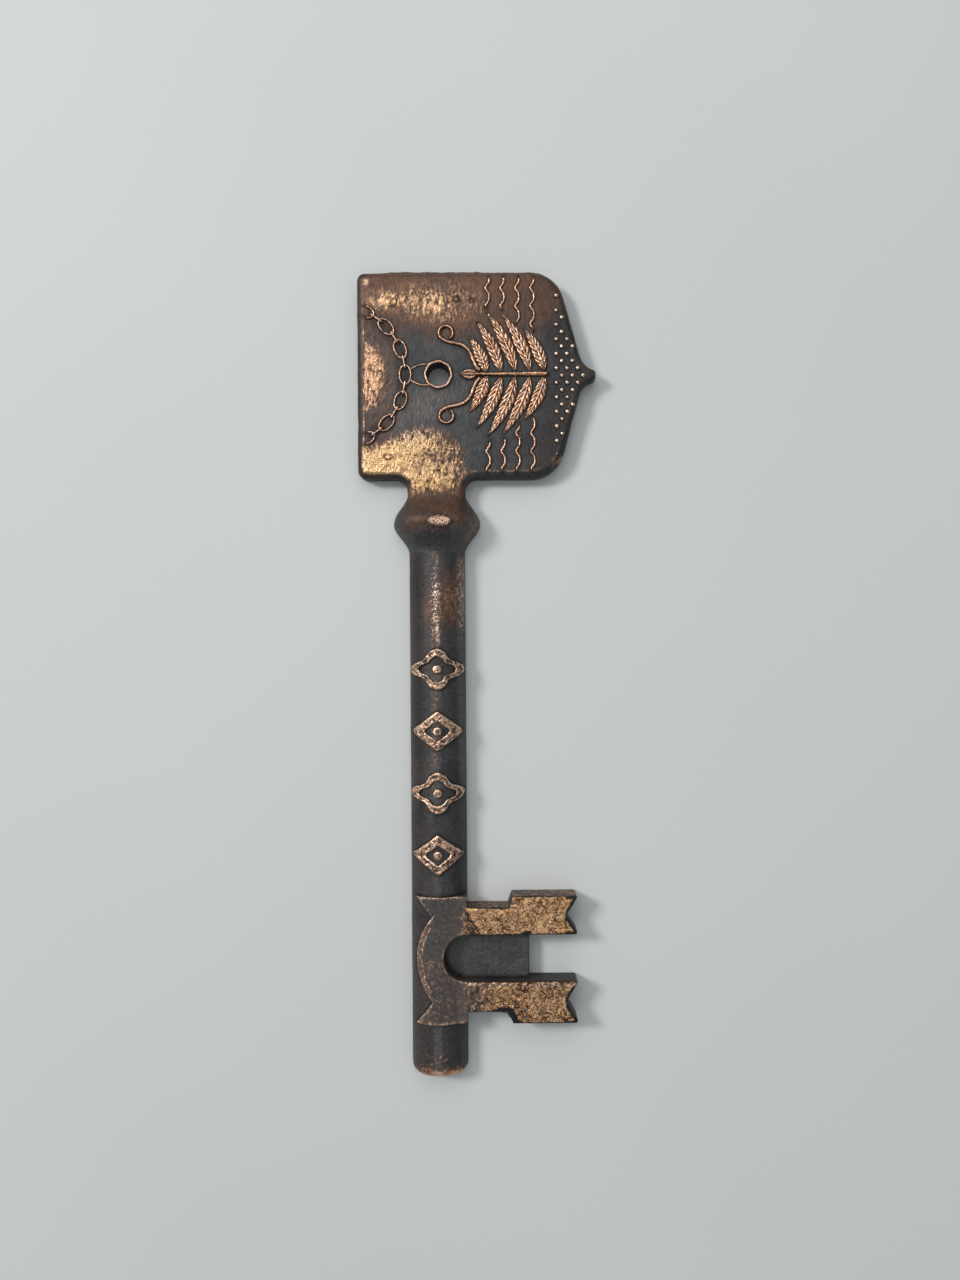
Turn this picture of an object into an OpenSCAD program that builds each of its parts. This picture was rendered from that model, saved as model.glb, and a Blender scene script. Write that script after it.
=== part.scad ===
// Souvenir door key, cast in relief and finished in antiqued copper, made to hang on a wall nail.
// The flat back lies in the XY plane. The origin is the centre of the hanging hole at the back,
// +Z leaves the face, +Y points to the top of the bow and the shank runs along -Y.

/* [Bow] */
// Distance from the hanging hole to the straight left side
bow_left = 20.2; // [17:0.1:25]
// Distance from the hanging hole to the top side, and to the bottom side
bow_half_h = 25.7; // [21:0.1:31]
// Distance from the hanging hole to the end of the nose
nose_reach = 39.25; // [36:0.05:47]
// Length of the nose beyond the sloping sides
nose_l = 3.25; // [2.7:0.05:3.9]
// Thickness of the bow plate
plate_t = 4.6; // [3.8:0.1:5.6]
// Lean of the sloping right sides away from the Y axis, in degrees
slant = 15.4; // [10:0.1:20]
// Radius of the two right corners
shoulder_r = 8.8; // [7:0.1:10.5]
// Radius of the top left corner
top_left_r = 1.9; // [1.5:0.1:2.5]
// Radius of the bottom left corner
bottom_left_r = 2.4; // [1.5:0.1:3]
// Width of the bevel round the face
bevel_w = 1.6; // [1.2:0.1:2]
// Depth of the bevel below the face
bevel_d = 1.1; // [0.8:0.1:1.5]

/* [Hanging eyelet] */
// Diameter of the hanging hole
hole_d = 5.4; // [4.4:0.1:6.5]
// Wall of the eyelet's barrel
barrel_wall = 0.45; // [0.35:0.05:0.6]
// Width of the eyelet's rim beyond its barrel
rim_w = 0.35; // [0.3:0.05:0.6]
// Height of the rim above the face
rim_h = 0.8; // [0.6:0.1:1.2]

/* [Chain and waves] */
// Distance from the left side to the centre of the chain's arc, outside the bow
chain_offset = 5.5; // [4:0.1:7]
// Radius of the chain's arc
chain_r = 17.5; // [15:0.1:20]
// Length of a chain ring
ring_l = 5.2; // [4.4:0.1:6.2]
// Width of a chain ring
ring_w = 3.3; // [2.8:0.1:3.9]
// Thickness of the wire of the rings and bars
wire_w = 0.6; // [0.5:0.05:0.7]
// Length of a chain bar
bar_l = 4.0; // [3.4:0.1:4.6]
// Height of the chain rings above the face
wire_h = 0.5; // [0.4:0.05:0.6]
// Height of a wavy line's crest from its middle line
wave_amp = 0.45; // [0.35:0.05:0.55]
// Length of one wave
wave_l = 4.5; // [3.7:0.1:5.4]
// Distance between two wavy lines
wave_pitch = 3.7; // [3.2:0.1:4.2]
// Width of a wavy line
wave_w = 0.55; // [0.45:0.05:0.65]
// Height of the wavy lines above the face
wave_h = 0.35; // [0.3:0.05:0.45]

/* [Studs] */
// Diameter of a stud
bead_d = 1.1; // [0.9:0.05:1.2]
// Distance between two studs of one column
bead_pitch = 3.6; // [3.2:0.1:4.4]
// Distance between two columns of studs
bead_column = 1.32; // [1.2:0.01:1.5]
// Length of the triangle of studs, up to the root of the nose
bead_field_l = 6.65; // [6:0.05:7.4]
// Bare margin between the first column of studs and the top and bottom sides
bead_margin = 6.2; // [5.2:0.1:7.5]

/* [Sprig] */
// Length of the stem
stem_l = 17.5; // [15:0.5:18]
// Width of the stem at its root
stem_w = 1.3; // [1.1:0.1:1.6]
// Length of the longest leaves
leaf_l = 16.5; // [14:0.5:20]
// Width of a leaf
leaf_w = 3; // [2.5:0.1:3.1]
// Angle between a leaf and the stem, in degrees
leaf_lean = 64; // [60:1:70]
// Distance between two leaf pairs
leaf_pitch = 3.6; // [3.5:0.05:3.8]
// Height of the leaves above the face
leaf_h = 0.75; // [0.6:0.05:1]
// Length of the bud
bud_l = 4.2; // [3.5:0.1:4.8]
// Width of the bud
bud_w = 2.8; // [2.4:0.1:3.2]
// Length of a tendril along its curve
tendril_l = 22; // [19:0.5:25]
// Width of a tendril at its root
tendril_w = 0.95; // [0.8:0.05:1.1]

/* [Neck and collar] */
// Width of the neck between bow and collar
neck_w = 14.3; // [12:0.1:17]
// Length of the neck below the bow's bottom side
neck_l = 3.2; // [2.8:0.1:4]
// Distance from the hanging hole to the shank's middle line, to the left
shank_offset = 0.75; // [0.5:0.05:1]
// Half the width of the collar at its crest
collar_r = 10.85; // [10:0.05:13]
// Height of the collar at its crest
collar_h = 10.2; // [9:0.1:12]
// Length of the collar from the neck to its crest
collar_rise = 7.8; // [6.5:0.1:9.4]
// Length of the collar from its crest to the shank
collar_fall = 7.6; // [6.4:0.1:9]

/* [Shank] */
// Radius of the half-round shank
shank_r = 7; // [5.8:0.1:8.4]
// Length of the shank
shank_l = 129.6; // [108:0.1:156]
// Rounding of the shank's free end
shank_end_r = 1.8; // [1.2:0.1:2.4]
// Number of ornaments on the shank
motif_count = 4; // [2:1:4]
// Distance between two ornaments
motif_pitch = 15.25; // [12.7:0.05:18.3]
// Length of an ornament along the shank
motif_l = 10.4; // [8.8:0.1:12]
// Height of the ornaments above the shank
motif_h = 0.65; // [0.5:0.05:0.8]
// Width of an ornament's frame
motif_band = 2.2; // [1.8:0.1:2.5]
// Depth of the hollows between the lobes of the four-lobed ornaments, as a share of their reach
lobe_depth = 0.32; // [0.25:0.01:0.4]
// Bare stretch between the last ornament and the saddle
motif_gap = 5.1; // [3.5:0.05:6.2]
// Diameter of the boss in each ornament
boss_d = 2.4; // [2:0.1:2.8]

/* [Bit] */
// Distance from the shank's free end to the middle of the bit
bit_from_end = 29.45; // [26:0.05:34]
// Distance from the shank's middle line to the tips of the wards
bit_reach = 35; // [29:0.1:40]
// Height of the wards above the back
ward_t = 6.6; // [5.5:0.1:7.2]
// Gap between the two wards
ward_gap = 11.4; // [9.5:0.1:13.6]
// Width of the upper ward's arm
upper_arm_w = 6.8; // [5.7:0.1:8.1]
// Width of the upper ward's head
upper_head_w = 9.6; // [8.6:0.1:11]
// Width of the lower ward's arm
lower_arm_w = 7.6; // [6.4:0.1:9]
// Width of the lower ward's head
lower_head_w = 10.45; // [9.4:0.05:12]
// Length of the wards' heads
head_l = 16.4; // [13.6:0.1:19]
// Depth of the swallow-tail notch in the wards' tips
notch_d = 3.1; // [2.6:0.1:3.7]
// Thickness of the web
web_t = 3.4; // [2.8:0.1:4]
// Distance from the shank's middle line to the web's free edge
web_reach = 22.4; // [18.7:0.1:26.8]
// Thickness of the saddle over the shank
saddle_t = 0.75; // [0.6:0.05:0.9]
// Depth of the saddle's waist on its left side
waist_d = 3.9; // [3.3:0.1:4.4]
// Length of the saddle's hooked tips along the shank
hook_l = 4.8; // [4:0.1:5.5]

/* [Joints] */
// Clearance round each tenon in its socket
fit_gap = 0.08; // [0.05:0.01:0.15]
// Width of the bow's tang
tang_w = 7; // [6:0.1:8.4]
// Thickness of the bow's tang
tang_t = 2.8; // [2.3:0.1:3]
// Length of the tang and of the shank's spigot
tenon_l = 5; // [4:0.1:5.5]
// Diameter of the shank's spigot
spigot_d = 4.4; // [3.7:0.1:5]
// Diameter of each ward's tenon
peg_d = 2.4; // [2:0.1:2.8]
// Reach of the wards' tenons into the bit's root
peg_l = 6; // [5:0.1:7]
// Thickness of the web's tongue
tongue_t = 1.4; // [1.2:0.1:1.8]
// Reach of the web's tongue into the shank
tongue_l = 2; // [1.7:0.1:2.4]

/* [Hidden] */
$fn = 48;

CHAIN_RINGS = 7;
CHAIN_STEP = 10.7;
WAVES = 4;
LEAF_PAIRS = 5;
BEAD_COLUMNS = 6;
over = 0.5;
dark = "#43403d";
brown = "#6b4a38";
copper = "#a97652";
bright = "#d8a878";

axis_x = -shank_offset;
neck_y = -(bow_half_h + neck_l);
crest_y = neck_y - collar_rise;
shank_y = crest_y - collar_fall;
end_y = shank_y - shank_l;
bit_y = end_y + bit_from_end;
root_x = axis_x + shank_r;
slot_r = ward_gap / 2;
upper_head = slot_r + upper_head_w;
lower_head = slot_r + lower_head_w;
socket_z = plate_t / 2;
spigot_z = shank_r * 0.46;
peg_z = ward_t * 0.44;
saddle_r = shank_r + saddle_t;
barrel_r = hole_d / 2 + barrel_wall;
rim_r = barrel_r + rim_w;
face_left = -(bow_left - bevel_w * 1.2);
face_half = bow_half_h - bevel_w * 0.9;
chain_x = -(bow_left + chain_offset);

// The nose: where the sloping sides end, and how thick its tip is
nose_root_x = nose_reach - nose_l;
nose_root_half = 2.2;
nose_half = 1;
nose_fillet = 5;
shoulder_x = nose_root_x - (bow_half_h - nose_root_half) * tan(slant);

// The studs fill a triangle whose point lies in the root of the nose
bead_x = nose_root_x - bead_field_l;
bead_apex = nose_root_x + 0.2;
bead_y = -0.4;
bead_slope = (bow_half_h - bead_margin) / (bead_apex - bead_x);

// The sprig grows from the studs towards the eyelet, the longest leaves in the middle
sprig_gap = 2.3;
sprig_x = bead_x - sprig_gap;
bud_x = sprig_x - stem_l;
leaf_x = sprig_x - 0.65;
leaf_shares = [0.72, 0.96, 1, 0.86, 0.6];
leaf_bend = 26;
leaf_seat = 0.15;

// The wavy lines: their places across the bow, and how far the leaves keep each from the stem
wave_gap = 5.85;
wave_x = [for (i = [0:WAVES - 1]) bead_x - wave_gap - wave_pitch * (WAVES - 1 - i)];
wave_clear = [leaf_reach(3) + 1, leaf_reach(2) + 1, leaf_reach(1) + 1, leaf_reach(1) - 0.8];

// The bail's strands leave the middle chain ring and meet the eyelet's rim
bail_spread = 1.3;
bail_bow = 2.9;
bail_angle = 48;
bail_w = 0.45;

// Bare edge on the shank beside each ornament
motif_side = 0.3;

// The saddle's left side lies this far inside the shank's side, at its bulge and at its tips
bulge_in = 1.55;
tip_in = 1.3;

// Outlines. A corner is [x, y, radius, share of the bevel], counterclockwise.
function flat(v) = [v[0], v[1]];
function unit(v) = v / norm(v);
function left_of(v) = [-v[1], v[0]];
function turn(u, v) = atan2(u[0] * v[1] - u[1] * v[0], u * v);

function moved_corner(corners, i, inset) =
    let (n = len(corners),
         here = flat(corners[i]),
         u = unit(here - flat(corners[(i + n - 1) % n])),
         v = unit(flat(corners[(i + 1) % n]) - here),
         share = is_undef(corners[i][3]) ? 1 : corners[i][3])
    here + inset * share / (1 + u * v) * (left_of(u) + left_of(v));

function corner_arc(before, here, after, r, steps) =
    let (u = unit(here - before),
         angle = turn(u, unit(after - here)),
         start = here - r * tan(abs(angle) / 2) * u,
         centre = start + sign(angle) * r * left_of(u),
         spoke = start - centre)
    [for (k = [0:steps])
        let (a = angle * k / steps)
        centre + [spoke[0] * cos(a) - spoke[1] * sin(a), spoke[0] * sin(a) + spoke[1] * cos(a)]];

function rounded(corners, inset = 0, steps = 8) =
    let (n = len(corners),
         moved = [for (i = [0:n - 1]) moved_corner(corners, i, inset)])
    [for (i = [0:n - 1])
        let (before = moved[(i + n - 1) % n],
             after = moved[(i + 1) % n],
             bend = sign(turn(moved[i] - before, after - moved[i])),
             share = is_undef(corners[i][3]) ? 1 : corners[i][3],
             r = max(corners[i][2] - bend * inset * share, 0.05))
        each (corners[i][2] == 0 ? [moved[i]] : corner_arc(before, moved[i], after, r, steps))];

// A strip of even or varying width along a line of points
function strip(line, halves) =
    let (n = len(line),
         sides = [for (i = [0:n - 1])
             halves[i] * left_of(unit(line[min(i + 1, n - 1)] - line[max(i - 1, 0)]))])
    concat([for (i = [0:n - 1]) line[i] - sides[i]],
           [for (i = [n - 1:-1:0]) line[i] + sides[i]]);

// A line of points that starts at the origin and takes one step along each heading
function walk(headings, step) =
    [for (k = 0, p = [0, 0]; k <= len(headings);
          p = p + step * [cos(headings[min(k, len(headings) - 1)]), sin(headings[min(k, len(headings) - 1)])],
          k = k + 1) p];

// A closed solid through rings of points, from the lowest ring to the highest
module lofted(rings) {
    n = len(rings[0]);
    last = len(rings) - 1;
    polyhedron(
        points = [for (ring = rings) each ring],
        faces = concat(
            [[for (i = [0:n - 1]) i]],
            [for (k = [0:last - 1], i = [0:n - 1])
                [k * n + i, (k + 1) * n + i, (k + 1) * n + (i + 1) % n]],
            [for (k = [0:last - 1], i = [0:n - 1])
                [k * n + i, (k + 1) * n + (i + 1) % n, k * n + (i + 1) % n]],
            [[for (i = [n - 1:-1:0]) last * n + i]]));
}

// A prism that stands on the bow's face
module on_face(height) {
    translate([0, 0, plate_t])
        linear_extrude(height)
            children();
}

// A round bar along the shank, from one distance below the hanging hole to another
module along_shank(r, from_y, to_y, z = 0) {
    translate([axis_x, from_y, z])
        rotate([90, 0, 0])
            cylinder(h = from_y - to_y, r = r);
}

// Bow
bow_corners = [
    [axis_x - neck_w / 2, neck_y - 2 * bevel_w, 0],
    [axis_x + neck_w / 2, neck_y - 2 * bevel_w, 0],
    [axis_x + neck_w / 2, -bow_half_h, neck_l * 0.95],
    [shoulder_x, -bow_half_h, shoulder_r],
    [nose_root_x, -nose_root_half, nose_fillet, 0.6],
    [nose_reach, -nose_half, nose_half, 0.35],
    [nose_reach, nose_half, nose_half, 0.35],
    [nose_root_x, nose_root_half, nose_fillet, 0.6],
    [shoulder_x, bow_half_h, shoulder_r],
    [-bow_left, bow_half_h, top_left_r],
    [-bow_left, -bow_half_h, bottom_left_r],
    [axis_x - neck_w / 2, -bow_half_h, neck_l * 0.95]
];

// The bevel is cut by a tapered shape that is wider than the plate below it
module bow_bevel() {
    low = plate_t - 2 * bevel_d;
    high = plate_t + 0.5 * bevel_d;
    lofted([for (ring = [[-1, -bevel_w], [low, -bevel_w], [high, 1.5 * bevel_w]])
        [for (p = rounded(bow_corners, ring[1])) [p[0], p[1], ring[0]]]]);
}

module bow_plate() {
    color(brown) {
        difference() {
            intersection() {
                linear_extrude(plate_t)
                    polygon(rounded(bow_corners));
                bow_bevel();
            }
            translate([axis_x - neck_w, neck_y - 10, -1])
                cube([2 * neck_w, 10, plate_t + 2]);
            translate([0, 0, -1])
                cylinder(h = plate_t + 2, r = barrel_r);
        }
        translate([axis_x - tang_w / 2, neck_y - tenon_l, socket_z - tang_t / 2])
            cube([tang_w, tenon_l, tang_t]);
    }
}

module hanging_eyelet() {
    color(bright)
        difference() {
            union() {
                cylinder(h = plate_t + rim_h / 2, r = barrel_r);
                translate([0, 0, plate_t])
                    cylinder(h = rim_h * 0.6, r = rim_r);
                translate([0, 0, plate_t + rim_h * 0.6])
                    cylinder(h = rim_h * 0.4, r1 = rim_r, r2 = rim_r - rim_w * 0.7);
            }
            translate([0, 0, -1])
                cylinder(h = plate_t + rim_h + 2, r = hole_d / 2);
        }
}

module mirrored(side) {
    if (side > 0) children();
    else mirror([0, 1, 0]) children();
}

// Two strands hang from the chain's middle ring, one each side, to the eyelet's rim
module bail_strand(side) {
    ring_side = ring_w / 2 * sqrt(1 - pow(2 * bail_spread / ring_l, 2));
    start = [chain_x + chain_r + ring_side + 0.15, bail_spread];
    stop = (rim_r + 0.1) * [cos(180 - bail_angle), sin(180 - bail_angle)];
    middle = [(start[0] + stop[0]) / 2, bail_bow];
    line = [for (k = [0:8])
        let (t = k / 8)
        (1 - t) * (1 - t) * start + 2 * t * (1 - t) * middle + t * t * stop];
    color(copper)
        mirrored(side)
            on_face(wave_h)
                polygon(strip(line, [for (p = line) -bail_w / 2]));
}

// Chain
module at_chain(step) {
    angle = CHAIN_STEP * step;
    translate([chain_x + chain_r * cos(angle), chain_r * sin(angle), 0])
        rotate([0, 0, angle + 90])
            children();
}

module oval(length, width) {
    r = width / 2 - 0.01;
    polygon(rounded([[-length / 2, -width / 2, r], [length / 2, -width / 2, r],
                     [length / 2, width / 2, r], [-length / 2, width / 2, r]]));
}

module ellipse(length, width) {
    polygon([for (a = [0:10:350]) [length / 2 * cos(a), width / 2 * sin(a)]]);
}

module ring_solid(i) {
    at_chain(2 * i - CHAIN_RINGS - 1)
        on_face(wire_h)
            difference() {
                ellipse(ring_l, ring_w);
                ellipse(ring_l - 2 * wire_w, ring_w - 2 * wire_w);
            }
}

module chain_ring(i) {
    color(copper)
        difference() {
            ring_solid(i);
            translate([face_left - 20, -bow_half_h, plate_t - 1])
                cube([20, 2 * bow_half_h, 4]);
        }
}

// A bar is notched where it passes over the ends of its two rings
module chain_bar(i) {
    color(copper)
        difference() {
            at_chain(2 * i - CHAIN_RINGS)
                on_face(wire_h + wire_w / 2)
                    oval(bar_l, wire_w * 1.3);
            ring_solid(i);
            ring_solid(i + 1);
        }
}

// Waves
module wave_stretch(x, from_y, to_y) {
    steps = ceil(abs(to_y - from_y) / (wave_l / 8));
    line = [for (k = [0:steps])
        let (y = from_y + (to_y - from_y) * k / steps)
        [x + wave_amp * sin(360 * y / wave_l), y]];
    on_face(wave_h)
        polygon(strip(line, [for (p = line) wave_w / 2]));
}

module wave_line(i) {
    color(copper) {
        wave_stretch(wave_x[i - 1], wave_clear[i - 1], face_half);
        wave_stretch(wave_x[i - 1], -face_half, -wave_clear[i - 1]);
    }
}

// Studs: each is half a ball that sits on the face
module bead_studs() {
    color(bright)
        for (column = [0:BEAD_COLUMNS - 1], row = [-8:8]) {
            x = bead_x + bead_column * column;
            y = bead_y + bead_pitch * (row + (column % 2 == 0 ? 0.5 : 0));
            if (abs(y) <= bead_slope * (bead_apex - x))
                translate([x, y, plate_t])
                    difference() {
                        sphere(r = bead_d / 2);
                        translate([-bead_d, -bead_d, -2 * bead_d])
                            cube([2 * bead_d, 2 * bead_d, 2 * bead_d]);
                    }
        }
}

// Sprig
module sprig_stem() {
    color(copper)
        on_face(leaf_h)
            polygon(strip([[sprig_x, 0], [bud_x, 0]], [stem_w / 2, stem_w / 4]));
}

module sprig_bud() {
    steps = 12;
    color(copper)
        on_face(leaf_h)
            polygon(strip([for (k = [0:steps]) [bud_x - bud_l * k / steps, 0]],
                          [for (k = [0:steps]) 0.08 + bud_w / 2 * sin(180 * pow(k / steps, 0.8))]));
}

// A leaf leaves the stem at an angle and curves towards the bud
function leaf_headings(steps) =
    [for (k = [0:steps - 1]) 180 - leaf_lean - leaf_bend * (0.5 - k / steps)];

function leaf_reach(i) = 0.9 * leaf_l * leaf_shares[i - 1] + stem_w / 2;

module leaf(length) {
    steps = 14;
    polygon(strip(walk(leaf_headings(steps), length / steps),
                  [for (k = [0:steps]) 0.12 + leaf_w / 2 * sin(180 * pow(k / steps, 0.75))]));
}

module sprig_leaf_pair(i) {
    x = leaf_x - leaf_pitch * (i - 1);
    half = stem_w / 2 * (1 - (sprig_x - x) / (2 * stem_l));
    color(copper)
        on_face(leaf_h)
            for (side = [-1, 1])
                mirrored(side)
                    translate([x, half + leaf_seat])
                        leaf(leaf_l * leaf_shares[i - 1]);
}

// A tendril springs from the foot of the bud, swings outwards and ends in a scroll
module sprig_tendril(side) {
    steps = 44;
    scroll = 0.6;
    headings = [for (k = [0:steps - 1])
        let (t = k / steps)
        t < scroll ? 140 - 30 * sin(360 * t / scroll) : 140 - 290 * (t - scroll) / (1 - scroll)];
    color(copper)
        mirrored(side)
            on_face(leaf_h)
                translate([bud_x + 0.8, (stem_w + 2 * tendril_w) / 4 + leaf_seat])
                    polygon(strip(walk(headings, tendril_l / steps),
                                  [for (k = [0:steps]) tendril_w / 2 * (1 - 0.4 * k / steps)]));
}

// Collar: its back is flat, its front swells from the neck's flat section to a half round
function collar_ring(s) =
    let (rise = s <= collar_rise,
         up = (1 - cos(180 * min(s / collar_rise, 1))) / 2,
         down = (1 + cos(180 * max(s - collar_rise, 0) / collar_fall)) / 2,
         half = rise ? neck_w / 2 + (collar_r - neck_w / 2) * up : shank_r + (collar_r - shank_r) * down,
         height = rise ? plate_t + (collar_h - plate_t) * up : shank_r + (collar_h - shank_r) * down,
         square = rise ? 0.55 + 0.45 * up : 1)
    [for (k = [0:24])
        let (a = 7.5 * k)
        [axis_x - half * sign(cos(a)) * pow(abs(cos(a)), square), neck_y - s,
         height * pow(sin(a), square)]];

module collar() {
    stations = concat([for (k = [0:7]) collar_rise * k / 7],
                      [for (k = [1:8]) collar_rise + collar_fall * k / 8]);
    color(brown)
        difference() {
            lofted([for (s = stations) collar_ring(s)]);
            translate([axis_x - tang_w / 2 - fit_gap, neck_y - tenon_l - fit_gap,
                       socket_z - tang_t / 2 - fit_gap])
                cube([tang_w + 2 * fit_gap, tenon_l + fit_gap + 1, tang_t + 2 * fit_gap]);
            along_shank(spigot_d / 2 + fit_gap, shank_y + tenon_l + fit_gap, shank_y - 1, spigot_z);
        }
}

// Shank
module front_half(from_y, to_y) {
    translate([axis_x - 50, to_y - over, 0])
        cube([100, from_y - to_y + 2 * over, 50]);
}

module shank() {
    profile = concat(
        [[0, 0], [shank_r, 0]],
        [for (k = [0:6])
            let (a = 15 * k)
            [shank_r - shank_end_r * (1 - cos(a)), shank_l - shank_end_r * (1 - sin(a))]],
        [[0, shank_l]]);
    color(dark)
        difference() {
            union() {
                intersection() {
                    translate([axis_x, shank_y, 0])
                        rotate([90, 0, 0])
                            rotate_extrude()
                                polygon(profile);
                    front_half(shank_y, end_y);
                }
                along_shank(spigot_d / 2, shank_y + tenon_l, shank_y - over, spigot_z);
            }
            ward_pegs(fit_gap);
            web_tongue(fit_gap);
            translate([0, 0, web_t])
                slot_shape(shank_r);
        }
}

// Ornaments: each is a flat outline cut out of a shell that fits round the shank
module shank_shell(y, height) {
    intersection() {
        difference() {
            along_shank(shank_r + height, y + motif_l, y - motif_l);
            along_shank(shank_r, y + motif_l + 1, y - motif_l - 1);
        }
        translate([axis_x, y, 0])
            linear_extrude(shank_r + height + 1)
                children();
    }
}

module lobes(half_w, half_l) {
    polygon([for (a = [0:7.5:352.5])
        (1 - lobe_depth / 2 * (1 - cos(4 * a))) * [half_w * cos(a), half_l * sin(a)]]);
}

module lozenge(half_w, half_l) {
    polygon(rounded([[-half_w, 0, 0.6], [0, -half_l, 0.6], [half_w, 0, 0.6], [0, half_l, 0.6]]));
}

function motif_y(i) = bit_y + upper_head + motif_gap + motif_l / 2 + motif_pitch * (motif_count - i);

module shank_motif(i) {
    half_w = shank_r - motif_side;
    half_l = motif_l / 2;
    color(bright)
        shank_shell(motif_y(i), motif_h)
            difference() {
                if (i % 2 == 1) lobes(half_w, half_l);
                else lozenge(half_w, half_l);
                if (i % 2 == 1) lobes(half_w - motif_band, half_l - motif_band);
                else lozenge(half_w - 1.6 * motif_band, half_l - 1.3 * motif_band);
            }
}

module shank_boss(i) {
    color(bright)
        shank_shell(motif_y(i), motif_h * 1.2)
            circle(boss_d / 2);
}

// Bit
module ward_pegs(grow = 0) {
    for (y = [slot_r + upper_arm_w / 2, -(slot_r + lower_arm_w / 2)])
        translate([root_x - peg_l - grow, bit_y + y, peg_z])
            rotate([0, 90, 0])
                cylinder(h = peg_l + grow + 1, r = peg_d / 2 + grow);
}

module web_tongue(grow = 0) {
    half = slot_r - 1.5;
    translate([root_x - tongue_l - grow, bit_y - half - grow, (web_t - tongue_t) / 2 - grow])
        cube([tongue_l + grow + 1, 2 * half + 2 * grow, tongue_t + 2 * grow]);
}

// The slot between the wards ends in a half round, cut into the shank level with the web's face
module slot_shape(height) {
    translate([root_x, bit_y, 0]) {
        cylinder(h = height, r = slot_r, $fn = 64);
        translate([0, -slot_r, 0])
            cube([axis_x + web_reach - root_x, ward_gap, height]);
    }
}

// The saddle's left side: two hooked tips and a long bulge between them
function waist_arc() =
    let (half = upper_head - hook_l,
         r = (half * half + waist_d * waist_d) / (2 * waist_d),
         span = asin(half / r),
         left = axis_x - shank_r + bulge_in)
    [for (k = [0:16])
        let (a = 180 - span + 2 * span * k / 16)
        [left + r + r * cos(a), bit_y + r * sin(a)]];

module bit_saddle() {
    tip_x = axis_x - shank_r + tip_in;
    color(dark)
        difference() {
            intersection() {
                union() {
                    along_shank(saddle_r, bit_y + upper_head, bit_y - lower_head);
                    translate([axis_x + 2, bit_y - lower_head, 0])
                        cube([shank_r - 2, lower_head + upper_head, ward_t]);
                }
                linear_extrude(saddle_r + 1)
                    polygon(concat(
                        [[root_x, bit_y - lower_head], [root_x, bit_y + upper_head],
                         [tip_x, bit_y + upper_head]],
                        waist_arc(),
                        [[tip_x, bit_y - lower_head]]));
            }
            along_shank(shank_r, bit_y + upper_head + 1, bit_y - lower_head - 1);
            translate([0, 0, -1])
                slot_shape(saddle_r + 2);
            ward_pegs(fit_gap);
        }
}

// A ward lies along +X from the bit's root; side is 1 for the upper one and -1 for the lower one
module ward(side, arm_w, head_w) {
    tip = axis_x + bit_reach;
    head = tip - head_l;
    inner = bit_y + side * slot_r;
    corners = [
        [root_x, inner, 0],
        [tip, inner, 0.5],
        [tip - notch_d, inner + side * head_w * 0.49, 0.3],
        [tip, inner + side * head_w, 0.5],
        [head, inner + side * head_w, 0.4],
        [head - 1, inner + side * arm_w, 0.4],
        [root_x, inner + side * arm_w, 0]
    ];
    ordered = side > 0 ? corners : [for (i = [len(corners) - 1:-1:0]) corners[i]];
    color(copper) {
        linear_extrude(ward_t)
            polygon(rounded(ordered));
        intersection() {
            ward_pegs();
            translate([root_x - peg_l - 1, side > 0 ? bit_y : bit_y - 30, 0])
                cube([peg_l + 1.5, 30, ward_t]);
        }
    }
}

module bit_web() {
    color(dark) {
        difference() {
            slot_shape(web_t);
            along_shank(shank_r, bit_y + ward_gap, bit_y - ward_gap);
        }
        difference() {
            web_tongue();
            translate([root_x, bit_y - ward_gap, -1])
                cube([5, 2 * ward_gap, 10]);
        }
    }
}

bow_plate();
hanging_eyelet();
for (i = [1:2]) bail_strand(3 - 2 * i);
for (i = [1:CHAIN_RINGS]) chain_ring(i);
for (i = [1:CHAIN_RINGS - 1]) chain_bar(i);
for (i = [1:WAVES]) wave_line(i);
bead_studs();
sprig_stem();
sprig_bud();
for (i = [1:2]) sprig_tendril(3 - 2 * i);
for (i = [1:LEAF_PAIRS]) sprig_leaf_pair(i);
collar();
shank();
for (i = [1:motif_count]) shank_motif(i);
for (i = [1:motif_count]) shank_boss(i);
bit_saddle();
bit_web();
ward(1, upper_arm_w, upper_head_w);  // upper_ward
ward(-1, lower_arm_w, lower_head_w);  // lower_ward
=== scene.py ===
"""Souvenir key in antiqued, copper-plated cast metal, lying face up on a pale floor.

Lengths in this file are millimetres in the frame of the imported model, and become metres where a
mesh is made. The flat back lies on z = 0, the hanging hole is at the origin and the shank runs
along -Y."""

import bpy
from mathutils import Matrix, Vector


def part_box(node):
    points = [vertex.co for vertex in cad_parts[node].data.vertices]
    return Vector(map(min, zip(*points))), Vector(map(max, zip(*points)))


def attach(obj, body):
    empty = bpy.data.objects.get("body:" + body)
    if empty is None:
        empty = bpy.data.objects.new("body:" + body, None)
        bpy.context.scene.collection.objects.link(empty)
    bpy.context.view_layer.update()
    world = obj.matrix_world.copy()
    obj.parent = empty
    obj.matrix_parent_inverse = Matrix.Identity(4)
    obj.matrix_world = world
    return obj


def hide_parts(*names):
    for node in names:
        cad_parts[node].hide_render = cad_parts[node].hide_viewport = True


bl_info = {
    "name": "Souvenir key",
    "version": (1, 0, 0),
    "blender": (4, 5, 0),
    "location": "3D View > Sidebar > Souvenir key",
    "description": "Builds a cast souvenir key with a worn copper finish round a fixed CAD frame",
    "category": "Add Mesh",
}

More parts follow.
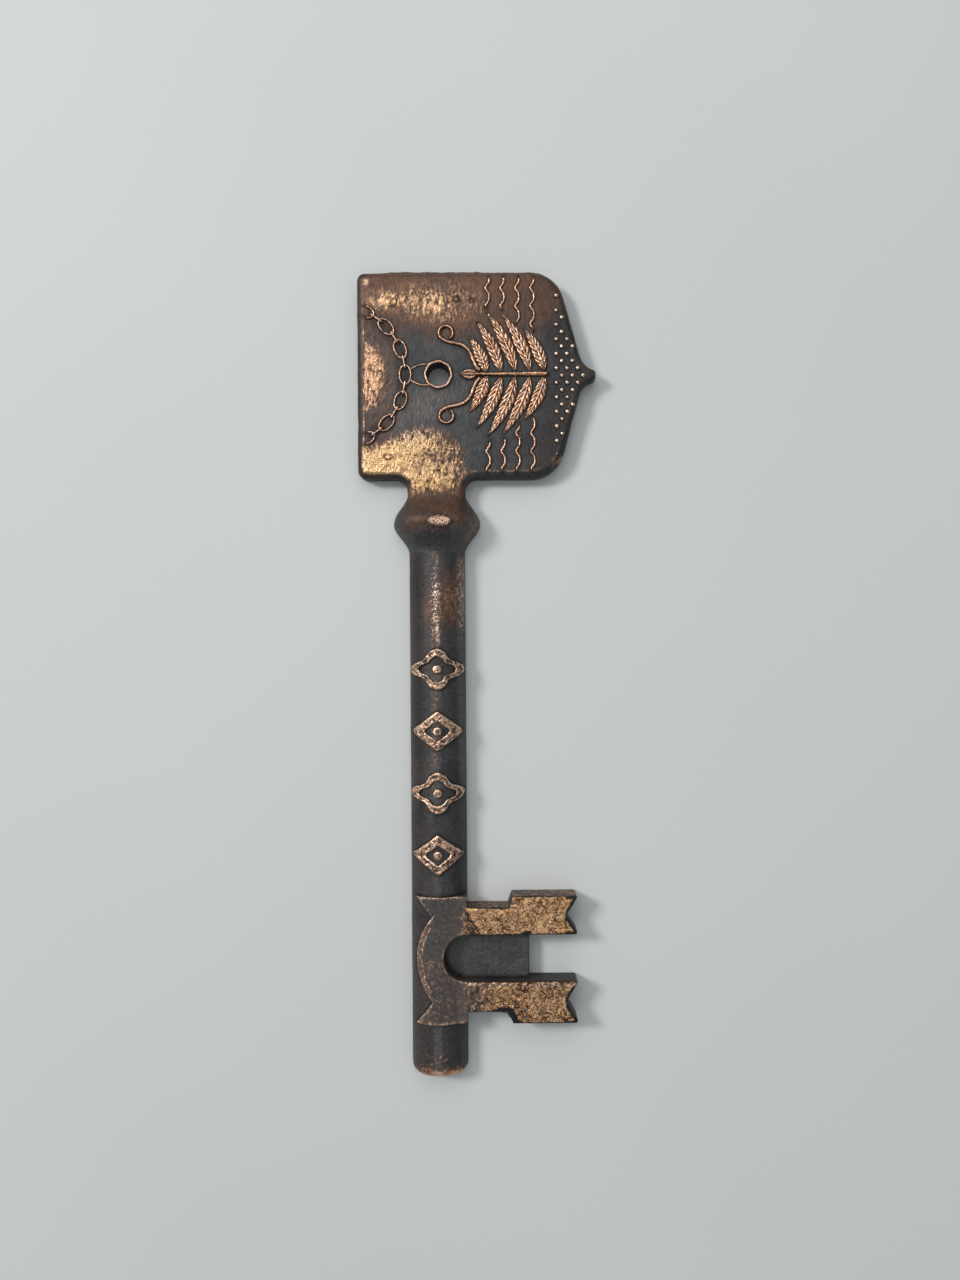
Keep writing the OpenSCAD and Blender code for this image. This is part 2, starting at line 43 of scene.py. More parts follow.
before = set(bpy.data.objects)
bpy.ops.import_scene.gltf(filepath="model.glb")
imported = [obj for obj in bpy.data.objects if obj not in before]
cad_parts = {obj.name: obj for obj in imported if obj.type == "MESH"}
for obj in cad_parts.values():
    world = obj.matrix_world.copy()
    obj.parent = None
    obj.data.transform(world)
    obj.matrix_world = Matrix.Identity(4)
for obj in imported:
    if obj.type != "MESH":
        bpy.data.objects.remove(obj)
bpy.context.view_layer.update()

import functools
import math

import bmesh
import bpy
import numpy as np
from mathutils import Vector
from mathutils.geometry import delaunay_2d_cdt
from mathutils.kdtree import KDTree

MM = 0.001
TURN = 2 * math.pi


def box(node):
    """Lowest and highest corner of a CAD node in millimetres."""
    return (np.array(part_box(node)) / MM).tolist()


# Sizes taken from the frame
(bow_left, _, _), (NOSE_REACH, BOW_HALF, PLATE_T) = box("bow_plate")
_, (RIM_R, _, RIM_TOP) = box("hanging_eyelet")
(collar_left, SHANK_Y, _), (collar_right, NECK_Y, COLLAR_H) = box("collar")
(shank_left, END_Y, _), (shank_right, _, _) = box("shank")
(_, web_low, _), (WEB_EDGE, web_high, WEB_T) = box("bit_web")
_, (WARD_TIP, ward_top, WARD_T) = box("upper_ward")
(_, ward_bottom, _), _ = box("lower_ward")
_, (_, _, SADDLE_R) = box("bit_saddle")
BOW_LEFT = -bow_left
COLLAR_R = (collar_right - collar_left) / 2
SHANK_R, AXIS_X = (shank_right - shank_left) / 2, (shank_right + shank_left) / 2
ROOT_X = AXIS_X + SHANK_R
SLOT_R, BIT_Y = (web_high - web_low) / 2, (web_high + web_low) / 2
UPPER_HEAD, LOWER_HEAD = ward_top - BIT_Y, BIT_Y - ward_bottom

# Sizes that the frame's boxes don't give, as they are in the CAD source
HOLE_R, BORE_R = 2.7, 3.0
NOSE_L, NOSE_ROOT_HALF, NOSE_HALF, NOSE_FILLET = 3.25, 2.2, 1.0, 5.0
SLANT, SHOULDER_R, BEVEL_W = math.radians(15.4), 8.8, 1.6
NECK_W, NECK_FILLET = 14.3, 3.04
CHAIN_R, CHAIN_X, CHAIN_STEP = 17.5, -BOW_LEFT - 5.5, math.radians(10.7)
RING_L, RING_W, BAR_L = 5.2, 3.3, 4.0
COLLAR_RISE, COLLAR_FALL = 7.8, 7.6
CREST_Y = NECK_Y - COLLAR_RISE
END_R, IN_COLLAR, TANG_L = 1.8, 1.8, 2.6
UPPER_ARM, LOWER_ARM, HEAD_L = 6.8, 7.6, 16.4
WAIST_D, HOOK_L = 3.9, 4.8
ARM_TOP, ARM_BOTTOM = BIT_Y + SLOT_R + UPPER_ARM, BIT_Y - SLOT_R - LOWER_ARM
WARDS = (("upper_ward", 201, 1, UPPER_ARM, UPPER_HEAD - SLOT_R),
         ("lower_ward", 221, -1, LOWER_ARM, LOWER_HEAD - SLOT_R))
BAIL_Y, BAIL_BEND, BAIL_TURN = 1.3, 2.9, math.radians(132)
BEAD_Y, BEAD_COLUMN, BEAD_ROW = -0.4, 1.32, 3.6
BEAD_X = NOSE_REACH - NOSE_L - 6.65
BEAD_APEX, BEAD_HALF = NOSE_REACH - NOSE_L + 0.2, BOW_HALF - 6.2
SPRIG_X = BEAD_X - 2.3
STEM_L, STEM_W = 17.5, 1.3
BUD_X, BUD_L = SPRIG_X - STEM_L, 4.2
LEAF_L, LEAF_LEAN, LEAF_BEND, LEAF_PITCH = 16.5, 64, 26, 3.6
LEAF_SHARES = (0.72, 0.96, 1.0, 0.86, 0.6)
WAVE_L, WAVE_AMP = 4.5, 0.45
MOTIF_HALF, MOTIF_L, MOTIF_H, MOTIF_BAND = SHANK_R - 0.3, 10.4, 0.65, 2.2
BOSS_R, BOSS_H = 1.2, 0.8
FACE_LEFT = -(BOW_LEFT - 1.2 * BEVEL_W)
FACE_HALF = BOW_HALF - 0.9 * BEVEL_W

# How far raised lines reach below the face, and backs inside a neighbour stay above the table
SINK, BACK_GAP = 0.3, 0.25

FLOOR_HALF = 4000.0
LAMP_AIM = Vector((0.01, -0.06, 0))


def length(name, description, millimetres):
    """A setting for a length."""
    return bpy.props.FloatProperty(
        name=name, description=description, default=millimetres * MM, unit="LENGTH")


def power(name, description, watts):
    """A setting for a lamp's power."""
    return bpy.props.FloatProperty(name=name, description=description, default=watts, unit="POWER")


def colour(name, description, default):
    """A setting for a colour."""
    return bpy.props.FloatVectorProperty(
        name=name, description=description, default=default, subtype="COLOR", size=3, min=0, max=1)


class KeyRelief(bpy.types.PropertyGroup):
    """Sizes of the cast relief"""

    wire: length("Wire", "Thickness of the chain's wire", 0.5)
    wave: length("Wave width", "Width of the wavy lines", 0.58)
    leaf: length("Leaf width", "Width of the sprig's leaves", 3.0)
    stud: length("Stud", "Diameter of the round studs", 1.1)
    edge: length("Edge rounding", "Rounding of the wards' upper edges", 0.45)
    hammer: length("Hammering", "Depth of the uneven cast surface", 0.11)
    pitch: length("Mesh pitch", "Spacing of the points on the face", 0.29)


class KeyFinish(bpy.types.PropertyGroup):
    """Colours of the antique finish"""

    patina: colour("Patina", "Dark patina on the low ground", (0.052, 0.053, 0.054))
    brown: colour("Brown", "Brown oxide round the worn places", (0.16, 0.082, 0.05))
    copper: colour("Copper", "Copper laid bare on the relief", (0.70, 0.37, 0.225))
    gold: colour("Gold", "Rubbed yellow metal on the high ground", (0.69, 0.435, 0.2))
    pale: colour("Pale", "Rubbed pale metal on the sharpest crests", (0.80, 0.62, 0.50))


class KeyStage(bpy.types.PropertyGroup):
    """Floor and light"""

    floor: colour("Floor", "Colour of the floor", (0.598, 0.625, 0.615))
    top_power: power("Top lamp", "Power of the wide lamp above", 2.6)
    side_power: power("Side lamp", "Power of the lamp at the upper left", 19.7)


# Numbers on points

def hashed(ix, iy, iz, seed):
    """A repeatable number from -1 to 1 for each cell."""
    mask = 0xFFFFFFFF
    h = (ix * 374761393 + iy * 668265263 + iz * 1440662683 + seed * 1274126177) & mask
    h = ((h ^ (h >> 13)) * 1274126177) & mask
    h = h ^ (h >> 16)
    return h / 2147483648.0 - 1.0


def noise(p, size, seed=0, octaves=3):
    """Smooth repeatable noise from about -1 to 1 at points; size may be one number or three."""
    q = np.asarray(p, float) / np.asarray(size, float)
    total, weight, whole = np.zeros(len(q)), 1.0, 0.0
    for octave in range(octaves):
        base = np.floor(q).astype(np.int64)
        f = q - base
        f = f * f * f * (f * (f * 6 - 15) + 10)
        value = np.zeros(len(q))
        for corner in range(8):
            step = np.array([corner & 1, corner >> 1 & 1, corner >> 2])
            c = base + step
            w = np.prod(np.where(step == 1, f, 1 - f), axis=1)
            value += w * hashed(c[:, 0], c[:, 1], c[:, 2], seed + octave)
        total += weight * value
        whole += weight
        weight *= 0.55
        q = q * 2.03 + 11.7
    return total / whole


def cells(p, size, seed=0):
    """Distances to the nearest and next of points scattered in the plane, in cell widths."""
    q = np.asarray(p, float)[:, :2] / size
    base = np.floor(q).astype(np.int64)
    first, second = np.full(len(q), 9.0), np.full(len(q), 9.0)
    for dx in (-1, 0, 1):
        for dy in (-1, 0, 1):
            cx, cy = base[:, 0] + dx, base[:, 1] + dy
            spot = np.stack([cx + 0.5 + 0.45 * hashed(cx, cy, 0, seed),
                             cy + 0.5 + 0.45 * hashed(cx, cy, 1, seed)], 1)
            d = np.linalg.norm(q - spot, axis=1)
            second = np.where(d < first, first, np.minimum(second, d))
            first = np.minimum(first, d)
    return first, second


def smooth(value, start, end):
    """0 below start, 1 above end and smooth between them; start may be above end."""
    t = np.clip((value - start) / (end - start), 0, 1)
    return t * t * (3 - 2 * t)


def bell(off, width):
    """1 where a distance is 0, falling off on both sides."""
    return np.exp(-(off / width) ** 2)


def most(*values):
    """The highest of several values, point by point."""
    return functools.reduce(np.maximum, values)


def warped(p, amount, size, seed):
    """Points shifted unevenly in the plane."""
    return p + amount * np.stack([noise(p, size, seed), noise(p, size, seed + 1), 0 * p[:, 0]], 1)


def patch(x, y, cx, cy, rx, ry, lean=0.0, soft=0.5):
    """1 inside a leaning oval and 0 well outside it."""
    c, s = math.cos(math.radians(lean)), math.sin(math.radians(lean))
    u, v = (x - cx) * c + (y - cy) * s, -(x - cx) * s + (y - cy) * c
    return smooth(np.hypot(u / rx, v / ry), 1 + soft, 1 - soft)


def blemish(x, y, cx, cy, rx, ry, seed):
    """A small dark ring left by the casting, broken here and there."""
    wobble = noise(np.stack([x, y, 0 * x], 1), 1.1, seed, 2)
    ring = bell(np.hypot((x - cx) / rx, (y - cy) / ry) - 0.8 + 0.2 * wobble, 0.33)
    return ring * smooth(wobble, -0.7, -0.3)


def nearest(points, spots):
    """For each point, the number of the nearest spot in the plane, and how far it is."""
    tree = KDTree(len(spots))
    for i, spot in enumerate(spots):
        tree.insert((spot[0], spot[1], 0), i)
    tree.balance()
    found = [tree.find((p[0], p[1], 0))[1:] for p in points]
    return np.array([i for i, _ in found], int), np.array([distance for _, distance in found])


def outline_gap(points, loop):
    """Distance in the plane to a closed outline."""
    return nearest(points, resampled(loop, 0.1))[1]


# Outlines

def resampled(loop, step, closed=True):
    """A line with its points about one step apart; corners may move by a fraction of a step."""
    loop = np.asarray(loop, float)
    line = np.vstack([loop, loop[:1]]) if closed else loop
    run = np.concatenate([[0], np.cumsum(np.linalg.norm(np.diff(line, axis=0), axis=1))])
    count = max(int(round(run[-1] / step)), 3)
    at = np.linspace(0, run[-1], count + 1)
    if closed:
        at = at[:-1]
    return np.stack([np.interp(at, run, line[:, k]) for k in range(line.shape[1])], 1)


def divided(rings, step):
    """Rings of equally many points, each long side divided alike in all of them."""
    first = rings[0]
    ahead = np.roll(first, -1, axis=0)
    counts = np.maximum(np.ceil(np.linalg.norm(ahead - first, axis=1) / step).astype(int), 1)
    cut = []
    for ring in rings:
        after = np.roll(ring, -1, axis=0)
        cut.append(np.concatenate([
            ring[i] + (after[i] - ring[i]) * (np.arange(c) / c)[:, None] for i, c in enumerate(counts)
        ]))
    return cut


def unit(v):
    """Vectors at length 1."""
    return v / np.maximum(np.linalg.norm(v, axis=-1, keepdims=True), 1e-9)


def left_of(v):
    """Vectors of the plane after a quarter turn to the left."""
    return np.stack([-v[..., 1], v[..., 0]], -1)


def circle(r, n, cx=0.0, cy=0.0):
    """n points round a circle."""
    a = np.arange(n) / n * TURN
    return np.stack([cx + r * np.cos(a), cy + r * np.sin(a)], 1)


def level(points, z=0.0):
    """Points of the plane at a level."""
    return np.c_[points, np.full(len(points), z)]


def places(corners):
    """Corners without their radii."""
    return np.array([c[:2] for c in corners], float)


def rounded(corners, inset=0.0, steps=8):
    """A counterclockwise outline of corners (x, y, radius, share of the inset), moved inwards."""
    flat = places(corners)
    share = np.array([c[3] if len(c) > 3 else 1.0 for c in corners])
    u = unit(flat - np.roll(flat, 1, axis=0))
    v = unit(np.roll(flat, -1, axis=0) - flat)
    bend = 1 + np.sum(u * v, axis=1, keepdims=True)
    moved = flat + inset * share[:, None] / bend * (left_of(u) + left_of(v))
    line = []
    for i, here in enumerate(moved):
        a = unit(here - moved[i - 1])
        b = unit(moved[(i + 1) % len(moved)] - here)
        angle = math.atan2(a[0] * b[1] - a[1] * b[0], float(a @ b))
        r = corners[i][2]
        if r == 0:
            line.append(here)
            continue
        r = max(r - math.copysign(inset * share[i], angle), 0.05)
        start = here - r * math.tan(abs(angle) / 2) * a
        centre = start + math.copysign(r, angle) * left_of(a)
        spoke = start - centre
        for k in range(steps + 1):
            c, s = math.cos(angle * k / steps), math.sin(angle * k / steps)
            line.append(centre + np.array([spoke[0] * c - spoke[1] * s, spoke[0] * s + spoke[1] * c]))
    return np.array(line)


def inside(points, loop):
    """Which points lie inside a closed outline."""
    x, y = points[:, 0], points[:, 1]
    hit = np.zeros(len(points), bool)
    for (ax, ay), (bx, by) in zip(loop, np.roll(loop, -1, axis=0)):
        if ay == by:
            continue
        crosses = (ay > y) != (by > y)
        hit ^= crosses & (x < (bx - ax) * (y - ay) / (by - ay) + ax)
    return hit


# Meshes. A shape is (points, faces), and faces hold point numbers.

def joined(*shapes):
    """Several shapes as one."""
    points, faces, start = [], [], 0
    for p, f in shapes:
        points.append(p)
        faces += [[i + start for i in face] for face in f]
        start += len(p)
    return np.concatenate(points), faces


def woven(rows, cols, ends=False, closed=False):
    """Faces between rings of points; closed joins the last ring to the first, and ends caps both."""
    index = np.arange(rows * cols).reshape(rows, cols)
    a = index if closed else index[:-1]
    b = np.roll(index, -1, axis=0) if closed else index[1:]
    faces = np.stack([a, np.roll(a, -1, axis=1), np.roll(b, -1, axis=1), b], -1).reshape(-1, 4).tolist()
    if ends:
        faces += [index[0][::-1].tolist(), index[-1].tolist()]
    return faces


def loft(rows, closed=False):
    """A closed shape through rings of points, with capped ends or joined into a loop."""
    return np.concatenate(rows), woven(len(rows), len(rows[0]), ends=not closed, closed=closed)


def meshed(loops, seeds=()):
    """Points and triangles of the plane, with closed loops of points as edges and seeds between."""
    points = np.concatenate([*loops, *seeds])
    edges, start = [], 0
    for loop in loops:
        n = len(loop)
        edges += [(start + i, start + (i + 1) % n) for i in range(n)]
        start += n
    verts, _, tris, *_ = delaunay_2d_cdt([Vector(p) for p in points], edges, [], 1, 1e-7, False)
    return points, np.array(verts), np.array([list(t) for t in tris])


def filled(loops, pitch):
    """Triangles between closed loops of points, the first one outside, with scattered points inside."""
    outer, *holes = loops
    lo, hi = outer.min(0), outer.max(0)
    ys = np.arange(lo[1], hi[1], pitch * 0.866)
    gx, gy = np.meshgrid(np.arange(lo[0], hi[0], pitch), ys)
    gx = gx + (np.arange(len(ys)) % 2)[:, None] * pitch / 2
    seeds = np.stack([gx.ravel(), gy.ravel()], 1)
    seeds += 0.12 * pitch * np.stack([noise(level(seeds), 0.7, seed, 1) for seed in (3, 5)], 1)

    def kept(spots):
        keep = inside(spots, outer)
        for hole in holes:
            keep &= ~inside(spots, hole)
        return keep

    seeds = seeds[kept(seeds)]
    seeds = seeds[nearest(seeds, np.concatenate(loops))[1] > 0.6 * pitch]
    points, verts, tris = meshed(loops, [seeds])
    if len(verts) != len(points):
        raise RuntimeError("an outline crosses itself or repeats a point")
    return points, tris[kept(points[tris].mean(axis=1))].tolist()


def slab(corners, steps, pitch, turns, spacing=1.1, back_pitch=0.9, holes=()):
    """A closed block with rounded corners. Its steps, each an inset and a level, go from the back's
    edge up the side and over the bevel to the face's edge, and holes are outlines cut through."""
    rings = divided([rounded(corners, inset, turns) for inset, _ in steps], pitch * spacing)
    heights = [height for _, height in steps]
    wall = np.concatenate([level(ring, z) for ring, z in zip(rings, heights)])
    parts = [(wall, woven(len(rings), len(rings[0])))]
    for end, gap, flip in ((-1, pitch, False), (0, back_pitch, True)):
        p, f = filled([rings[end], *holes], gap)
        parts.append((level(p, heights[end]), [t[::-1] for t in f] if flip else f))
    for hole in holes:
        both = np.concatenate([level(hole, heights[0]), level(hole, heights[-1])])
        parts.append((both, woven(2, len(hole))))
    return joined(*parts)


def lifted(shape, hidden):
    """A shape whose back is raised where it runs on inside its neighbour, so that the two backs
    don't lie in one plane."""
    points, faces = shape
    x, y, z = points.T
    points[:, 2] = np.where(hidden(x, y), np.maximum(z, BACK_GAP), z)
    return points, faces


def dome(t, s):
    """Rounded cross-section of a raised line: 1 in the middle and 0 at the sides."""
    return np.clip(1 - np.abs(t) ** 2.6, 0, 1) ** 0.6


def ridge(line, halves, heights, across, closed=False, section=dome):
    """A raised line that stands on the face and is closed below it. section gives the height of its
    back across the line, from -1 to 1, and along it, from 0 to 1."""
    n = len(line)
    halves, heights = np.broadcast_to(halves, (n,)), np.broadcast_to(heights, (n,))
    if closed:
        along = unit(np.roll(line, -1, axis=0) - np.roll(line, 1, axis=0))
    else:
        along = unit(np.gradient(line, axis=0))
    side = left_of(along)
    t, s = np.linspace(-1, 1, across + 1), np.linspace(0, 1, n)
    rise = np.broadcast_to(section(t[None, :], s[:, None]), (n, across + 1))
    rows = []
    for i in range(n):
        xy = line[i] - side[i] * (halves[i] * t)[:, None]
        top = np.c_[xy, PLATE_T + heights[i] * rise[i]]
        rows.append(np.concatenate([top, level(xy[[-1, 0]], PLATE_T - SINK)]))
    return loft(rows, closed)


def turned(profile, around):
    """A closed ring turned from a closed profile of (radius, height)."""
    r, z = profile.T
    angles = np.arange(around) / around * TURN
    return loft([np.c_[r * math.cos(a), r * math.sin(a), z] for a in angles], closed=True)


def made(node, kind, shape, slot, material, masks, change, aging=(0.75, 2.2)):
    """A piece of the key that stands for a CAD node. change moves its points along their normals by
    millimetres, and masks gives the values that its material reads, both from points and normals.
    aging says how much hollows darken and crests rub bare."""
    name = f"{node}_{kind}"
    points, faces = shape
    mesh = bpy.data.meshes.new(name)
    mesh.from_pydata((np.asarray(points) * MM).tolist(), [], faces)
    bm = bmesh.new()
    bm.from_mesh(mesh)
    bmesh.ops.remove_doubles(bm, verts=bm.verts, dist=1e-7)
    bmesh.ops.recalc_face_normals(bm, faces=bm.faces)
    bm.to_mesh(mesh)
    bm.free()
    p, n = measured(mesh)
    p = p + n * change(p, n)[:, None]
    mesh.vertices.foreach_set("co", (p * MM).astype(np.float32).ravel())
    mesh.update()
    p, n = measured(mesh)
    values = masks(p, n)
    back, cloud = smooth(n[:, 2], -0.6, -0.95), noise(p, 5.0, 251)
    for key, share in (("soot", 0.1), ("brown", 0.3 + 0.35 * cloud), ("pale", 0.2),
                       ("wear", 0.2 + 0.2 * cloud + 0.1 * noise(p, 1.2, 252))):
        values[key] = values[key] * (1 - back) + back * share
    hollow = hollowness(mesh, p, n) * smooth(n[:, 2], 0.1, 0.5)
    values["soot"] = most(values["soot"], aging[0] * smooth(hollow, 0.03, 0.2))
    values["wear"] = values["wear"] - aging[1] * np.clip(hollow, -0.15, 0.15) * (values["wear"] > 0.12)
    for key, value in values.items():
        layer = mesh.attributes.new(key, "FLOAT", "POINT")
        value = np.broadcast_to(np.asarray(value, np.float32), (len(p),))
        layer.data.foreach_set("value", np.ascontiguousarray(value))
    mesh.shade_smooth()
    mesh.materials.append(material)
    piece = bpy.data.objects.new(name, mesh)
    bpy.context.scene.collection.objects.link(piece)
    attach(piece, "root")
    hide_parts(node)


def raised(node, kind, shape, masks, change, **more):
    """A copper piece of the raised ornament."""
    made(node, kind, shape, "relief_copper", antique("Relief plating"), masks, change, **more)


def measured(mesh):
    """Points in millimetres and normals of a mesh."""
    p = np.empty(len(mesh.vertices) * 3, np.float32)
    n = np.empty(len(mesh.vertices) * 3, np.float32)
    mesh.vertices.foreach_get("co", p)
    mesh.vertex_normals.foreach_get("vector", n)
    return p.reshape(-1, 3).astype(float) / MM, n.reshape(-1, 3).astype(float)


def hollowness(mesh, p, n):
    """How steeply each point's neighbours rise over it: above 0 in a hollow, below 0 on a crest."""
    pairs = np.empty(len(mesh.edges) * 2, np.int32)
    mesh.edges.foreach_get("vertices", pairs)
    a, b = pairs[0::2], pairs[1::2]
    i, j = np.concatenate([a, b]), np.concatenate([b, a])
    step = p[j] - p[i]
    rise = np.sum(step * n[i], axis=1) / np.maximum(np.linalg.norm(step, axis=1), 1e-6)
    count = np.maximum(np.bincount(i, minlength=len(p)), 1)
    level = np.bincount(i, rise, len(p)) / count
    return 0.5 * level + 0.5 * np.bincount(i, level[j], len(p)) / count


# Materials

class Nodes:
    """Adds shader nodes to a tree. An input is a number, a colour or another node's output."""

    def __init__(self, tree):
        self.tree = tree

    def put(self, socket, value):
        if isinstance(value, bpy.types.NodeSocket):
            self.tree.links.new(value, socket)
        else:
            socket.default_value = value

    def add(self, kind, inputs=None, **options):
        """A new node with its options and with its inputs by name or number."""
        node = self.tree.nodes.new("ShaderNode" + kind)
        for option, value in options.items():
            setattr(node, option, value)
        for key, value in (inputs or {}).items():
            self.put(node.inputs[key], value)
        return node

    def place(self, kind="Object"):
        return self.add("TexCoord").outputs[kind]

    def calc(self, operation, a, b, clamp=False):
        return self.add("Math", {0: a, 1: b}, operation=operation, use_clamp=clamp).outputs[0]

    def times(self, a, b):
        return self.calc("MULTIPLY", a, b)

    def plus(self, a, b, clamp=False):
        return self.calc("ADD", a, b, clamp)

    def top(self, a, b, clamp=False):
        return self.calc("MAXIMUM", a, b, clamp)

    def mixed(self, factor, a, b, how="MIX"):
        """Colour a with colour b over it by a factor."""
        return self.add("Mix", {0: factor, 6: a, 7: b}, data_type="RGBA", blend_type=how,
                        clamp_factor=True).outputs[2]

    def tinted(self, a, b):
        """Two colours multiplied."""
        return self.mixed(1.0, a, b, "MULTIPLY")

    def ranged(self, value, low_in, high_in, low_out=0.0, high_out=1.0):
        inputs = {"Value": value, "From Min": low_in, "From Max": high_in, "To Min": low_out,
                  "To Max": high_out}
        return self.add("MapRange", inputs, interpolation_type="SMOOTHSTEP").outputs["Result"]

    def grain(self, vector, scale, detail, rough=0.6, distortion=0.0, output="Fac"):
        inputs = {"Vector": vector, "Scale": scale, "Detail": detail, "Roughness": rough,
                  "Distortion": distortion}
        return self.add("TexNoise", inputs).outputs[output]


def group(name, inputs, outputs):
    """A new node group with named sockets: its nodes, what it is given and what it puts out."""
    tree = bpy.data.node_groups.new(name, "ShaderNodeTree")
    for label, value in inputs.items():
        kind = "Float" if isinstance(value, float) else "Vector" if len(value) == 3 else "Color"
        socket = tree.interface.new_socket(label, in_out="INPUT", socket_type="NodeSocket" + kind)
        socket.default_value = value
    for label in outputs:
        kind = "Color" if label == "Color" else "Float"
        tree.interface.new_socket(label, in_out="OUTPUT", socket_type="NodeSocket" + kind)
    given, result = tree.nodes.new("NodeGroupInput"), tree.nodes.new("NodeGroupOutput")
    return Nodes(tree), given.outputs, result.inputs


def grit_nodes(t, place, draw):
    """Grit of the cast skin from 0 to 1, coarse and fine. Colour and relief both use it."""
    drawn = t.add("VectorMath", {0: place, 1: draw}, operation="MULTIPLY").outputs[0]
    return (t.ranged(t.grain(drawn, 1150, 3, 0.6, 0.4), 0.34, 0.66),
            t.ranged(t.grain(drawn, 3100, 3, 0.62), 0.34, 0.66))


def aged_plating():
    """Shared colours of the finish: dark patina, brown oxide, metal where it is rubbed bare, and the
    painted shade and sheen that the masks give.
    """
    t, given, result = group(
        "Aged plating",
        {"Wear": 0.3, "Brown": 0.0, "Gold": 0.3, "Pale": 0.0, "Soot_and_shade": 0.0, "Grit": 0.5,
         "Draw": (1, 1, 1), "Patina colour": (0.05, 0.05, 0.05, 1), "Brown colour": (0.2, 0.1, 0.05, 1),
         "Copper colour": (0.7, 0.4, 0.3, 1), "Gold colour": (0.8, 0.5, 0.3, 1),
         "Pale colour": (0.8, 0.6, 0.5, 1)},
        ("Color", "Roughness", "Metallic"))
    place = t.place()
    cloud = t.ranged(t.grain(place, 140, 3), 0.35, 0.65)
    coarse, fine = grit_nodes(t, place, given["Draw"])
    rough = t.plus(t.times(t.calc("SUBTRACT", coarse, 0.5), 1.2),
                   t.times(t.calc("SUBTRACT", fine, 0.5), 0.8))
    rough = t.times(rough, t.times(given["Grit"], t.ranged(given["Wear"], 0.02, 0.3, 0.25, 1.0)))
    wear = t.plus(given["Wear"], rough)
    bare = t.ranged(wear, 0.3, 0.82)
    halo = t.ranged(t.plus(wear, given["Wear"]), 0.12, 0.9, 0.0, 0.8)
    brown = t.top(halo, t.times(given["Brown"], t.ranged(cloud, 0.0, 1.0, 0.72, 1.15)))
    dull = t.mixed(cloud, (0.80, 0.83, 0.88, 1), (1.2, 1.18, 1.16, 1))
    ground = t.mixed(brown, t.tinted(given["Patina colour"], dull), given["Brown colour"])
    # Pale greys the dark ground too. On the shank's crest and right flank, and in the web's middle,
    # this grey is a painted sheen.
    ground = t.mixed(t.times(given["Pale"], 0.4), ground, (0.16, 0.155, 0.15, 1))
    for grit in (coarse, fine):
        ground = t.tinted(ground, t.ranged(grit, 0.0, 1.0, 0.84, 1.16))
    metal = t.mixed(given["Gold"], given["Copper colour"], given["Gold colour"])
    metal = t.mixed(given["Pale"], metal, given["Pale colour"])
    metal = t.tinted(metal, t.ranged(wear, 0.4, 1.15, 0.66, 1.1))
    shown = t.mixed(bare, ground, metal)
    # This darkening is real patina and soot in hollows, and also painted shade where the masks darken
    # sides, recesses and lamp reflections.
    shown = t.mixed(given["Soot_and_shade"], shown, t.tinted(shown, (0.15, 0.135, 0.125, 1)))
    t.put(result["Color"], shown)
    t.put(result["Roughness"], t.plus(t.times(bare, -0.2), t.plus(0.46, t.times(fine, 0.12))))
    t.put(result["Metallic"], t.plus(0.55, t.times(bare, 0.45), clamp=True))
    return t.tree


def cast_grain():
    """Shared height of the cast skin: grit, scattered pits, curled grain and cracks."""
    t, given, result = group(
        "Cast grain", {"Amount": 0.5, "Pits": 0.5, "Curls": 0.0, "Cracks": 0.0, "Draw": (1, 1, 1)},
        ("Height", "Hollow"))
    place = t.place()
    coarse, fine = grit_nodes(t, place, given["Draw"])
    spots = t.add("TexVoronoi", {"Vector": place, "Scale": 900}).outputs["Distance"]
    pit = t.times(t.ranged(spots, 0.34, 0.12), t.ranged(t.grain(place, 330, 2), 0.46, 0.58))
    curl = t.calc("PINGPONG", t.times(t.grain(place, 420, 1.5, 0.5, 1.5), 5.0), 0.5)
    groove = t.times(t.ranged(t.times(curl, 2.0), 0.5, 0.08), given["Curls"])
    groove = t.times(groove, t.ranged(fine, 0.0, 0.8, 0.5, 1.0))
    swirl = t.grain(place, 600, 3, 0.5, output="Color")
    warp = t.add("VectorMath", {0: swirl, 1: (0.0022,) * 3, 2: place}, operation="MULTIPLY_ADD")
    split = t.add("TexVoronoi", {"Vector": warp.outputs[0], "Scale": 380}, feature="DISTANCE_TO_EDGE")
    crack = t.times(t.ranged(split.outputs["Distance"], 0.07, 0.012),
                    t.ranged(t.grain(place, 260, 2), 0.47, 0.58))
    hollow = t.top(t.top(t.times(pit, given["Pits"]), t.times(crack, given["Cracks"])), groove)
    height = t.times(t.plus(t.times(coarse, 0.62), t.times(fine, 0.3)), given["Amount"])
    t.put(result["Height"], t.calc("SUBTRACT", height, t.times(hollow, 0.5)))
    t.put(result["Hollow"], hollow)
    return t.tree


